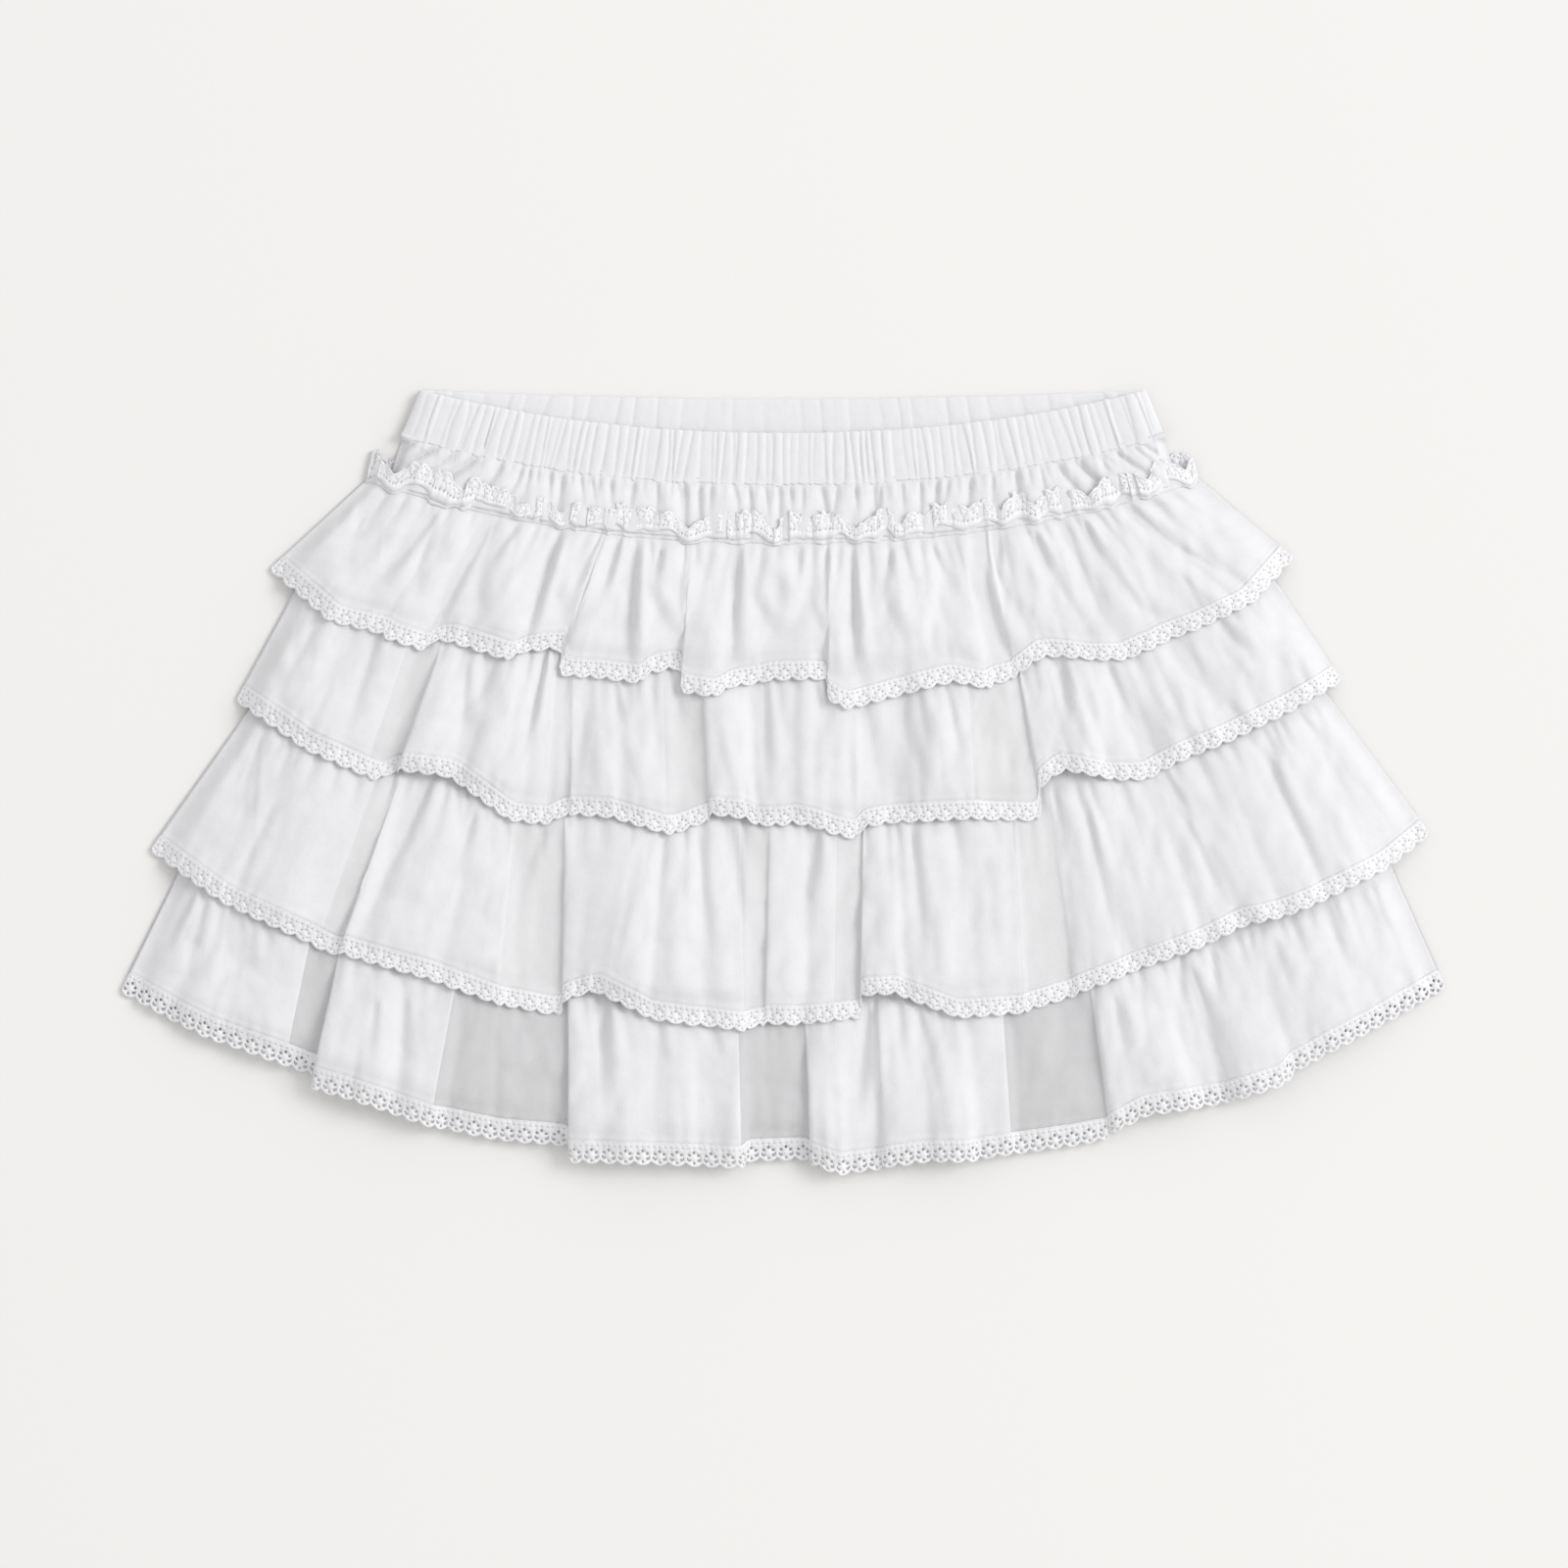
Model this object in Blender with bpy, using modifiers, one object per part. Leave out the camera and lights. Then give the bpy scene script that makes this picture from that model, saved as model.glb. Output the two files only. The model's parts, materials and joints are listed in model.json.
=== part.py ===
"""A woman's white cotton ruffle skort laid flat, face up, with its waist towards +Y.

Everything is in millimetres here and scaled to metres as each solid is made. X runs
across the garment, Y up it from hem to waist, Z up from the surface it lies on. The
origin is under the middle of the whole garment.

The pieces lie in layers. From the surface up they are the back ruffles with their
lace, the back of the yoke and base, the inner shorts' back and front, the front of the
yoke and base, and the front ruffles with their lace. Each layer's height is worked out
from the layer under it, so no two walls touch.
"""
from collections import namedtuple

import bmesh
import bpy
import numpy as np

MM = 0.001
COLLECTION = "tiered_ruffle_skort"

# ---- sizes, mm -------------------------------------------------------------------
WALL = 1.0               # cloth and lace
GAP = 0.3                # between pieces that meet edge to edge
FOLDED_GAP = 0.5         # between a folded ruffle and its lace, whose edges tilt at each fold
CLEAR = 0.4              # between layers that lie on each other
BAND_WALL = 2.4          # casing, elastic and casing
BAND_PLEAT = 0.45        # half the depth of a waistband pleat
BAND_CROWN = 0.55        # how much lower the waistband's long edges are than its middle
PLEATS_FRONT = 60
PLEATS_BACK = 24
YOKE_GATHERS = 12
YOKE_DEPTH = 1.1         # of a gather of the front yoke at the waistband
YOKE_DEPTH_BACK = 0.5
BACK_WAVES = 7           # of each back ruffle
GATHER = 0.9             # depth of the front ruffles' gathers at their heads
HEADING = 11.0           # height of the little frill above the first gather line
HEADING_SWAY = 1.5       # how far each second gather pulls the frill's edge down
HEADING_LIFT = (1.0, 1.6)    # of the frill's edge, and more of it at each second gather

# ---- finishes --------------------------------------------------------------------
# linear colour and roughness of each kind of cloth; none is a metal
Finish = namedtuple("Finish", "name colour roughness")
COTTON = Finish("cotton", (0.87, 0.88, 0.90), 0.85)
LACE = Finish("lace", (0.85, 0.86, 0.88), 0.90)
SHORTS_COTTON = Finish("shorts_cotton", (0.85, 0.86, 0.87), 0.90)

# ---- curves across the garment ---------------------------------------------------
# mid_y: height on the centre line; rise: how much higher the ends are;
# tilt: how much the right end is raised and the left lowered
Arc = namedtuple("Arc", "mid_y rise power tilt")
BAND_TOP_FRONT = Arc(160.9, 19.8, 2.2, 0.0)
BAND_LOW_FRONT = Arc(136.6, 22.0, 2.2, 0.0)
BAND_TOP_BACK = Arc(176.6, 4.1, 2.0, 0.0)
BAND_LOW_BACK = Arc(152.3, 6.3, 2.0, 0.0)
BAND_HALF = (167.0, 175.5)            # half width at the top and at the bottom

# one row for each ruffle: the gather line's curve and span, the back hem's curve
# and the hem's span; lace is the width of its edging
Tier = namedtuple("Tier", "seam seam_left seam_right hem_back hem_left hem_right lace")
TIERS = {
    1: Tier(Arc(109.6, 29.2, 2.2, 0.0), -192.6, 193.1, Arc(48.8, 51.0, 2.6, 2.7), -237.2, 235.8, 8.0),
    2: Tier(Arc(55.6, 35.3, 2.2, 0.7), -223.7, 227.7, Arc(-16.4, 58.5, 2.4, 4.5), -252.5, 257.9, 8.0),
    3: Tier(Arc(-14.2, 50.0, 2.2, 4.0), -247.1, 251.1, Arc(-106.0, 78.5, 2.2, 3.7), -292.1, 298.4, 8.0),
    4: Tier(Arc(-99.7, 57.8, 2.2, 1.6), -279.4, 281.2, Arc(-168.0, 72.2, 2.0, 0.7), -305.6, 305.6, 9.5),
}

# Folds of the front ruffles from left to right, one row for each. x, y: where the fold
# starts and ends along the lace's lower edge; lift: its height there above what it
# lies on; crown: how far its middle arches above the line between.
Fold = namedtuple("Fold", "x0 y0 lift0 x1 y1 lift1 crown")
FOLDS = {
    1: (
        Fold(-237.2, 98.3, 0.0, -208.8, 74.0, 3.0, 1.0),
        Fold(-204.3, 72.7, 1.5, -186.3, 68.2, 1.5, 0.0),
        Fold(-181.8, 65.5, 4.5, -165.2, 60.1, 6.0, 1.0),
        Fold(-161.6, 63.7, 1.0, -157.1, 64.6, 1.5, 0.0),
        Fold(-151.7, 63.7, 4.0, -126.5, 55.6, 6.5, 1.5),
        Fold(-120.2, 59.2, 1.0, -104.9, 61.0, 0.5, 0.0),
        Fold(-101.7, 48.8, 6.5, -92.2, 47.9, 6.5, 1.0),
        Fold(-88.2, 47.9, 4.5, -66.2, 45.2, 5.5, 2.0),
        Fold(-60.8, 49.7, 1.0, -50.0, 52.0, 0.5, 0.0),
        Fold(-45.9, 40.7, 7.0, -31.1, 38.9, 7.5, 1.5),
        Fold(-23.9, 43.4, 3.0, -10.8, 45.2, 4.5, 0.5),
        Fold(-6.3, 46.6, 3.0, 17.6, 47.0, 1.5, 1.5),
        Fold(21.2, 37.1, 6.5, 29.2, 33.1, 7.0, 1.0),
        Fold(34.6, 34.4, 5.5, 71.5, 44.3, 6.5, 3.5),
        Fold(78.8, 45.7, 4.0, 94.0, 42.5, 7.0, 1.0),
        Fold(96.8, 44.8, 0.5, 104.0, 46.6, 0.5, 0.0),
        Fold(107.5, 48.8, 5.0, 118.4, 56.9, 5.0, 1.5),
        Fold(124.2, 57.4, 2.0, 137.7, 56.5, 3.0, 2.0),
        Fold(143.6, 55.6, 2.0, 158.0, 56.0, 3.0, 3.0),
        Fold(162.5, 58.3, 2.5, 172.3, 62.3, 3.0, 2.0),
        Fold(176.8, 65.0, 2.0, 190.3, 70.0, 2.5, 2.5),
        Fold(195.3, 72.2, 2.0, 212.0, 80.3, 2.5, 2.5),
        Fold(216.5, 82.6, 1.5, 235.8, 103.7, 0.0, 1.5),
    ),
    2: (
        Fold(-252.5, 37.6, 0.0, -224.6, 18.7, 2.5, 1.5),
        Fold(-220.1, 15.1, 1.0, -192.2, 2.9, 4.0, 2.0),
        Fold(-186.8, 0.7, 0.5, -178.7, 4.3, 0.0, 0.0),
        Fold(-176.4, 5.2, 6.0, -154.8, 2.5, 6.0, 1.0),
        Fold(-150.3, 0.2, 4.5, -125.5, -17.8, 6.5, 2.0),
        Fold(-121.0, -18.2, 3.5, -109.4, -19.6, 3.0, 1.5),
        Fold(-106.7, -18.7, 0.5, -100.4, -15.5, 0.5, 0.0),
        Fold(-96.8, -15.1, 5.0, -78.3, -16.4, 5.5, 1.0),
        Fold(-74.2, -17.8, 4.0, -52.6, -24.1, 6.5, 2.0),
        Fold(-48.1, -23.2, 1.0, -36.5, -18.7, 0.5, 0.0),
        Fold(-32.9, -15.1, 6.0, -16.7, -16.9, 7.0, 1.5),
        Fold(-12.2, -20.0, 3.5, 0.5, -20.0, 4.0, 1.5),
        Fold(4.0, -18.7, 3.0, 17.6, -21.8, 4.0, 2.0),
        Fold(21.6, -23.6, 2.5, 32.9, -26.3, 3.5, 1.5),
        Fold(37.4, -20.9, 2.5, 47.7, -19.1, 3.0, 1.0),
        Fold(52.2, -18.7, 2.5, 88.7, -16.9, 5.5, 2.5),
        Fold(93.2, -17.3, 0.5, 115.7, -17.8, 0.0, 0.0),
        Fold(119.2, -1.6, 5.5, 125.5, 3.4, 5.0, 0.5),
        Fold(129.2, 5.2, 3.5, 146.7, 2.0, 5.0, 2.0),
        Fold(152.6, 0.7, 2.0, 167.8, 1.1, 3.5, 2.5),
        Fold(172.8, 4.3, 1.5, 185.0, 10.6, 3.0, 1.5),
        Fold(189.5, 12.4, 2.0, 205.2, 18.7, 3.0, 2.0),
        Fold(209.7, 20.9, 2.0, 230.0, 30.8, 2.5, 2.0),
        Fold(234.5, 33.1, 1.5, 257.9, 46.6, 0.0, 1.5),
    ),
    3: (
        Fold(-292.1, -31.3, 0.0, -259.7, -53.8, 3.5, 1.5),
        Fold(-255.2, -56.5, 2.5, -229.1, -68.6, 5.0, 2.0),
        Fold(-222.8, -71.3, 3.0, -214.7, -75.4, 1.5, 0.0),
        Fold(-210.2, -78.1, 0.0, -205.7, -79.0, 0.0, 0.0),
        Fold(-203.4, -78.5, 6.5, -196.7, -80.8, 5.5, 0.0),
        Fold(-192.2, -82.1, 5.5, -161.6, -90.7, 8.0, 1.5),
        Fold(-157.1, -92.5, 6.5, -131.0, -101.9, 7.5, 1.5),
        Fold(-126.5, -102.8, 1.5, -114.3, -105.1, 1.5, 1.0),
        Fold(-110.7, -106.0, 0.5, -103.5, -106.9, 0.0, 0.0),
        Fold(-100.8, -100.6, 5.0, -90.5, -97.0, 5.5, 0.0),
        Fold(-86.0, -96.1, 7.0, -64.8, -106.4, 8.0, 1.5),
        Fold(-60.8, -108.7, 6.0, -41.9, -111.4, 7.5, 1.5),
        Fold(-34.6, -111.8, 5.5, -24.3, -113.2, 7.5, 0.5),
        Fold(-21.2, -113.6, 6.0, -17.6, -114.1, 6.0, 0.0),
        Fold(-15.3, -112.7, 0.0, -10.3, -111.8, 0.0, 0.0),
        Fold(-8.1, -110.9, 4.5, 5.9, -111.4, 5.0, 1.0),
        Fold(10.3, -110.9, 2.5, 22.9, -109.6, 3.5, 1.5),
        Fold(26.6, -109.1, 1.5, 33.8, -108.7, 0.5, 0.0),
        Fold(36.0, -97.9, 6.0, 52.2, -97.0, 7.5, 1.0),
        Fold(56.2, -99.2, 5.0, 80.5, -108.2, 7.5, 1.5),
        Fold(85.0, -107.8, 5.0, 110.7, -106.0, 6.5, 1.0),
        Fold(113.0, -104.6, 0.5, 131.0, -99.2, 0.5, 1.0),
        Fold(135.5, -97.0, 3.5, 154.3, -89.8, 5.5, 1.5),
        Fold(160.2, -87.1, 2.5, 190.3, -76.3, 4.0, 2.0),
        Fold(194.8, -74.5, 2.0, 208.3, -67.7, 4.0, 1.5),
        Fold(212.8, -65.5, 2.0, 225.5, -62.8, 4.0, 1.5),
        Fold(230.0, -61.9, 2.0, 245.7, -55.6, 4.0, 1.5),
        Fold(250.2, -53.3, 2.0, 272.7, -42.5, 3.0, 2.0),
        Fold(277.2, -40.3, 1.5, 298.4, -24.1, 0.0, 1.0),
    ),
    4: (
        Fold(-305.6, -96.5, 0.0, -285.3, -107.3, 2.5, 1.0),
        Fold(-280.8, -110.0, 1.5, -262.8, -118.6, 3.5, 1.5),
        Fold(-256.9, -120.4, 2.0, -229.1, -130.3, 2.5, 1.5),
        Fold(-224.6, -132.1, 0.5, -218.2, -134.3, 0.0, 0.0),
        Fold(-216.0, -141.1, 6.5, -203.0, -144.7, 7.0, 0.5),
        Fold(-199.3, -145.6, 7.0, -183.2, -151.0, 8.0, 1.0),
        Fold(-178.7, -152.8, 6.0, -161.6, -158.6, 7.5, 1.0),
        Fold(-156.2, -159.5, 1.5, -134.6, -164.0, 1.5, 1.5),
        Fold(-130.1, -164.9, 1.0, -100.8, -167.2, 0.0, 0.5),
        Fold(-97.7, -174.8, 6.0, -81.5, -174.8, 6.0, 0.5),
        Fold(-77.0, -175.3, 7.5, -62.6, -175.3, 8.0, 1.0),
        Fold(-58.1, -175.7, 6.5, -42.3, -176.2, 7.5, 1.0),
        Fold(-37.8, -176.6, 6.0, -18.9, -177.5, 7.5, 1.0),
        Fold(-15.8, -174.4, 0.0, 9.9, -173.5, 0.0, 0.5),
        Fold(13.1, -175.7, 5.0, 26.6, -180.7, 6.0, 0.5),
        Fold(31.1, -179.8, 3.5, 41.9, -178.4, 2.5, 0.0),
        Fold(47.2, -177.1, 6.5, 63.5, -174.8, 6.5, 1.0),
        Fold(68.0, -174.4, 5.5, 86.0, -174.4, 7.5, 1.5),
        Fold(90.5, -173.5, 3.5, 104.9, -171.2, 3.0, 0.5),
        Fold(109.4, -170.8, 0.0, 128.7, -168.1, 0.5, 0.5),
        Fold(132.8, -167.6, 1.0, 147.2, -164.9, 0.0, 0.5),
        Fold(151.7, -161.8, 4.0, 162.5, -155.9, 3.5, 0.5),
        Fold(167.8, -153.2, 5.0, 187.2, -150.5, 6.0, 1.5),
        Fold(193.1, -149.6, 2.5, 203.0, -147.8, 1.5, 0.0),
        Fold(209.2, -146.0, 5.0, 230.8, -139.3, 5.5, 1.5),
        Fold(235.3, -133.4, 3.0, 245.7, -128.0, 2.5, 0.5),
        Fold(250.7, -124.9, 3.5, 268.2, -115.9, 3.0, 1.5),
        Fold(272.7, -113.6, 2.0, 305.6, -95.2, 0.0, 2.0),
    ),
}

# How each ruffle fans out: where a thread that ends at hem_x starts on the gather line
FAN = {
    1: ((-237.2, -192.6), (-167.4, -141.8), (-122.0, -101.2), (-98.5, -77.0), (-69.3, -65.7),
        (-25.2, -18.9), (31.9, 31.1), (86.0, 70.2), (104.0, 91.8), (180.5, 140.8),
        (218.7, 164.7), (235.8, 193.1)),
    2: ((-252.5, -223.7), (-177.3, -154.3), (-123.3, -108.5), (-104.0, -101.2), (-42.3, -45.9),
        (-6.3, -9.0), (19.8, 19.8), (50.0, 48.6), (90.5, 86.0), (119.2, 106.7),
        (173.7, 149.0), (203.0, 174.6), (257.9, 227.7)),
    3: ((-292.1, -247.1), (-247.1, -214.7), (-203.8, -174.2), (-157.1, -139.1), (-130.1, -121.5),
        (-101.7, -99.9), (-86.0, -69.3), (-34.6, -38.7), (-18.9, -21.2), (-9.0, -6.3),
        (35.1, 36.5), (65.7, 59.0), (111.6, 105.8), (154.3, 137.2), (209.7, 176.0),
        (248.8, 216.5), (298.4, 251.1)),
    4: ((-305.6, -279.4), (-251.6, -241.7), (-218.2, -203.8), (-188.6, -178.7), (-161.6, -148.1),
        (-130.1, -126.5), (-98.5, -98.5), (-42.3, -44.6), (-17.1, -18.9), (10.8, 8.6),
        (47.7, 45.5), (86.9, 79.2), (106.7, 101.7), (148.1, 138.6), (203.0, 180.5),
        (265.9, 245.7), (305.6, 281.2)),
}

# rows of the yoke: half width, height above the first gather line (None at the
# waistband), and share of a gather's depth
YOKE_ROWS = ((175.5, None, 1.0), (178.0, HEADING + 10.0, 0.8), (180.5, HEADING + 1.0, 0.5), (182.0, 4.0, 0.3))

# rows of the base: share of the way from the first to the last gather line, and drop
# below the first one
YOKE_DROP = 25.0          # drop below the first gather line at which all layers are level
BASE_ROWS = ((0.0, GAP - 4.0), (0.0, 12.0), *((share, YOKE_DROP) for share in (0.0, 0.35, 0.7, 1.0)))

# half width of the hidden base panel and of the shorts against height
BASE_HALF = ((-103.0, 267.0), (-42.0, 266.0), (35.0, 235.0), (91.0, 210.0), (139.0, 179.0), (159.0, 175.5))
SHORTS_HALF = ((-150.0, 230.0), (-121.0, 225.0), (157.0, 160.0))
SHORTS_HEM = (-148.5, 36.0)           # at the inner leg; how much higher outside
CROTCH_Y = -95.0
CROTCH_HALF = 2.5                     # half the slit between the legs

# heights of the layers' undersides, mm
BACK_LAP = 2.5           # head of a back ruffle, over the hem of the one above it
BACK_WAVE = 1.2          # waves of the back ruffles, up from the surface
BASE_BACK = 3.9
YOKE_BACK = 1.6
BAND_FRONT = 3.5
LAYER = WALL + CLEAR
BAND_ROOM = 0.7          # more room over the back yoke's gathers at the waistband
HEM_FALL = 5.2           # how far the last front ruffle falls below the others' level at its hem


def smooth(value):
    """Ease a value between 0 and 1."""
    value = np.clip(value, 0.0, 1.0)
    return value * value * (3.0 - 2.0 * value)


def mix(a, b, share):
    return a + (b - a) * share


def along(arc, s):
    """Height of an arc at s, which runs from -1 at its left end to 1 at its right."""
    return arc.mid_y + arc.rise * np.abs(s) ** arc.power + arc.tilt * s


def table(rows, value):
    """Read a two-column table between its rows."""
    rows = np.array(rows)
    return np.interp(value, rows[:, 0], rows[:, 1])


def share_of(x, left, right):
    """Where x lies between two ends, from -1 to 1."""
    return np.clip((2.0 * x - left - right) / (right - left), -1.0, 1.0)


def seam_y(tier, x):
    """Height of a ruffle's gather line at x."""
    t = TIERS[tier]
    return along(t.seam, share_of(x, t.seam_left, t.seam_right))


# ---- heights of the hidden layers ------------------------------------------------
def below_yoke(x, y):
    """0 at the first gather line, 1 a little below it."""
    return smooth((seam_y(1, x) - y) / YOKE_DROP)


def near_band(x, y):
    """1 at the waistband, 0 where the first ruffle's heading starts."""
    return smooth((y - seam_y(1, x) - HEADING - 1.0) / 9.0)


def over_shorts(x, y):
    """1 over the shorts, 0 at the side edge of the base."""
    edge = table(BASE_HALF, y)
    inner = table(SHORTS_HALF, y) + 2.0
    return smooth((edge - np.abs(x)) / np.maximum(edge - inner, 2.0))


def back_panel_low(x, y):
    """Underside of the back yoke and base."""
    return mix(YOKE_BACK, BASE_BACK, below_yoke(x, y)) * (1.0 - near_band(x, y))


def shorts_low(x, y, layer):
    """Underside of the shorts' back (layer 0) or front (layer 1)."""
    return back_panel_low(x, y) + LAYER * (1 + layer) + BAND_ROOM * near_band(x, y)


def front_panel_low(x, y):
    """Underside of the front yoke and base."""
    over = mix(LAYER, 3.0 * LAYER, over_shorts(x, y))
    return back_panel_low(x, y) + over + BAND_ROOM * near_band(x, y)


# ---- building --------------------------------------------------------------------
def material(finish):
    """The material of a finish, made the first time it is asked for."""
    found = bpy.data.materials.get(finish.name)
    if found is None:
        found = bpy.data.materials.new(finish.name)
        found.use_nodes = True
        shader = found.node_tree.nodes["Principled BSDF"]
        shader.inputs["Base Color"].default_value = (*finish.colour, 1.0)
        shader.inputs["Roughness"].default_value = finish.roughness
        shader.inputs["Metallic"].default_value = 0.0
    return found


def open_surface(name, grid, finish, keep=None):
    """A surface of quads on a grid of points, added to the skort's collection.

    Rows run down the garment and columns to the right. keep says which cells are cloth.
    """
    rows, cols = grid.shape[:2]
    number = np.arange(rows * cols).reshape(rows, cols)
    cells = np.stack([number[:-1, :-1], number[1:, :-1], number[1:, 1:], number[:-1, 1:]], -1)
    cells = cells.reshape(-1, 4) if keep is None else cells[keep]
    mesh = bpy.data.meshes.new(name)
    mesh.from_pydata((grid.reshape(-1, 3) * MM).tolist(), [], cells.tolist())
    mesh.materials.append(material(finish))
    mesh.shade_smooth()
    obj = bpy.data.objects.new(name, mesh)
    bpy.data.collections[COLLECTION].objects.link(obj)
    return obj


def cloth(name, grid, finish, keep=None):
    """A wall of cloth under a surface: split into triangles first, so that both of its faces fold alike."""
    obj = open_surface(name, grid, finish, keep)
    split = obj.modifiers.new("split", "TRIANGULATE")
    split.quad_method = "SHORTEST_DIAGONAL"
    wall = obj.modifiers.new("wall", "SOLIDIFY")
    wall.thickness = WALL * MM
    wall.offset = -1.0
    wall.use_even_offset = True
    wall.use_quality_normals = True
    return obj


def upright(name, x, y, low, finish=COTTON, keep=None):
    """A wall of cloth on grids of x, y and its underside."""
    return cloth(name, np.stack([x, y, low + WALL], -1), finish, keep)


def arc_rows(arcs, halves, s):
    """Grids of x and y whose rows follow the arcs, over columns at s."""
    x = np.array([half * s for half in halves])
    y = np.array([along(arc, s) for arc in arcs])
    return x, y


def blend_arc(a, b, share):
    """An arc part of the way from one to another."""
    return Arc(*[mix(p, q, share) for p, q in zip(a, b)])


def band_y(arc, x):
    """Height of the waistband's lower edge at x."""
    return along(arc, np.clip(x / BAND_HALF[1], -1.0, 1.0)) - GAP


# ---- waistband -------------------------------------------------------------------
def waistband(name, top, low, floor, pleats):
    """A casing on elastic: pleats on its upper face over a plain inside."""
    s = np.linspace(-1.0, 1.0, 2 * pleats + 1)
    middle = blend_arc(top, low, 0.5)
    x, y = arc_rows((top, middle, low), (BAND_HALF[0], sum(BAND_HALF) / 2, BAND_HALF[1]), s)
    pleat = np.where(np.arange(s.size) % 2, BAND_PLEAT, -BAND_PLEAT)
    crown = np.array([-BAND_CROWN, 0.0, -BAND_CROWN])[:, None]
    obj = open_surface(name, np.stack([x, y, floor + BAND_WALL + crown + pleat], -1), COTTON)
    body = bmesh.new()
    body.from_mesh(obj.data)
    under = bmesh.ops.extrude_face_region(body, geom=body.faces[:])["geom"]
    for vertex in under:
        if isinstance(vertex, bmesh.types.BMVert):
            vertex.co.z = floor * MM
    bmesh.ops.recalc_face_normals(body, faces=body.faces[:])
    body.to_mesh(obj.data)
    body.free()


# ---- yoke, base and shorts -------------------------------------------------------
def yoke(name, band_low, low_at, gathers, depth):
    """The hip strip, gathered where the waistband holds it."""
    s = np.linspace(-1.0, 1.0, 2 * gathers + 1)
    rows = []
    for half, up, share in YOKE_ROWS:
        x = half * s
        edge = band_y(band_low, x)
        y = edge if up is None else np.minimum(seam_y(1, x) + up, edge - 1.5)
        gather = np.where(np.arange(s.size) % 2, depth * share, 0.0)
        rows.append(np.stack([x, y, low_at(x, y) + WALL + gather], -1))
    cloth(name, np.array(rows), COTTON)


def base(name, low_at):
    """The plain panel that carries ruffles 2 to 4."""
    middle, border = np.linspace(-1.0, 1.0, 11), np.array([0.5, 1.0])
    xs, ys = [], []
    for share, drop in BASE_ROWS:
        end_y = mix(seam_y(1, TIERS[1].seam_right) - drop, seam_y(4, TIERS[4].seam_right) - 3.0, share)
        edge, inner = float(table(BASE_HALF, end_y)), float(table(SHORTS_HALF, end_y)) + 2.0
        outer = mix(inner, edge, border)
        x = np.concatenate([-outer[::-1], middle * inner, outer])
        xs.append(x)
        ys.append(mix(seam_y(1, x) - drop, seam_y(4, x) - 3.0, share))
    x, y = np.array(xs), np.array(ys)
    upright(name, x, y, low_at(x, y))


def shorts(name, band_low, layer):
    """One face of the inner shorts, with two legs."""
    side = np.linspace(0.0, 1.0, 7)[1:]
    s = np.concatenate([-side[::-1], [-0.01, 0.01], side])
    middle = side.size
    crotch = CROTCH_Y + 12.0 * np.abs(s)
    hem = SHORTS_HEM[0] + SHORTS_HEM[1] * np.abs(s)

    def at_height(y_end, y_of):
        x = float(table(SHORTS_HALF, y_end)) * s
        x[middle], x[middle + 1] = -CROTCH_HALF, CROTCH_HALF
        return x, y_of(x)

    rows = [at_height(157.0, lambda x: band_y(band_low, x))]
    for up in (HEADING + 10.0, HEADING + 1.0, 0.0, -12.0, -YOKE_DROP):
        rows.append(at_height(131.0 + up, lambda x: np.minimum(seam_y(1, x) + up, band_y(band_low, x) - 1.5)))
    rows.append(at_height(10.0, lambda x: mix(seam_y(1, x) - YOKE_DROP, crotch, 0.55)))
    rows.append(at_height(CROTCH_Y, lambda x: crotch))
    rows.append(at_height(-121.0, lambda x: hem))
    x, y = (np.array(part) for part in zip(*rows))
    keep = np.ones((y.shape[0] - 1, y.shape[1] - 1), bool)
    keep[-1:, middle] = False
    upright(name, x, y, shorts_low(x, y, layer), SHORTS_COTTON, keep)


# ---- back ruffles ----------------------------------------------------------------
def back_ruffle(tier):
    """A ruffle of the back and its lace, waved up from the surface it lies on."""
    t = TIERS[tier]
    s = np.linspace(-1.0, 1.0, 3 * BACK_WAVES + 1)
    head_x = mix(t.seam_left, t.seam_right, (s + 1.0) / 2.0)
    hem_x = mix(t.hem_left, t.hem_right, (s + 1.0) / 2.0)
    head_y, hem_y = along(t.seam, s), along(t.hem_back, s)
    length = np.hypot(hem_x - head_x, hem_y - head_y)
    cloth_end = 1.0 - t.lace / length
    if tier > 1:
        above = TIERS[tier - 1]
        lap = along(above.hem_back, share_of(head_x, above.hem_left, above.hem_right))
        clear = np.clip((head_y - lap + 2.0) / (head_y - hem_y), 0.1, 0.5)
        stages = [0.0 * s, clear, clear + 8.0 / length, cloth_end]
        lifted = [1.0, 1.0, 0.0, 0.0]
    else:
        stages = [-HEADING / length, 0.0 * s, 0.35 + 0.0 * s, cloth_end]
        lifted = [0.0, 0.0, 0.0, 0.0]
    edge = smooth((1.0 - np.abs(s)) / 0.1)
    calm = smooth((0.92 - np.abs(s)) / 0.2)
    ripple = np.where(np.arange(s.size) % 3 == 2, BACK_WAVE, 0.0) * calm

    def points(stage, up):
        stage = np.asarray(stage)
        x, y = mix(head_x, hem_x, stage), mix(head_y, hem_y, stage)
        low = mix(ripple * np.clip(stage * 1.4, 0.0, 1.0), mix(1.0 + CLEAR, BACK_LAP, edge), up)
        return x, y, low

    rows = [points(stage, up) for stage, up in zip(stages, lifted)]
    upright(f"tier_{tier}_back", *[np.array(part) for part in zip(*rows)])
    rows = [points(cloth_end + GAP / length, 0.0), points(1.0 + 0.0 * s, 0.0)]
    upright(f"lace_{tier}_back", *[np.array(part) for part in zip(*rows)], finish=LACE)


# ---- front ruffles ---------------------------------------------------------------
def grown(t):
    """Share of a fold's lift at t, from 0 at the gather line to 1 at the hem."""
    return (1.0 - np.exp(-2.2 * t)) / (1.0 - np.exp(-2.2))


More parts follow.
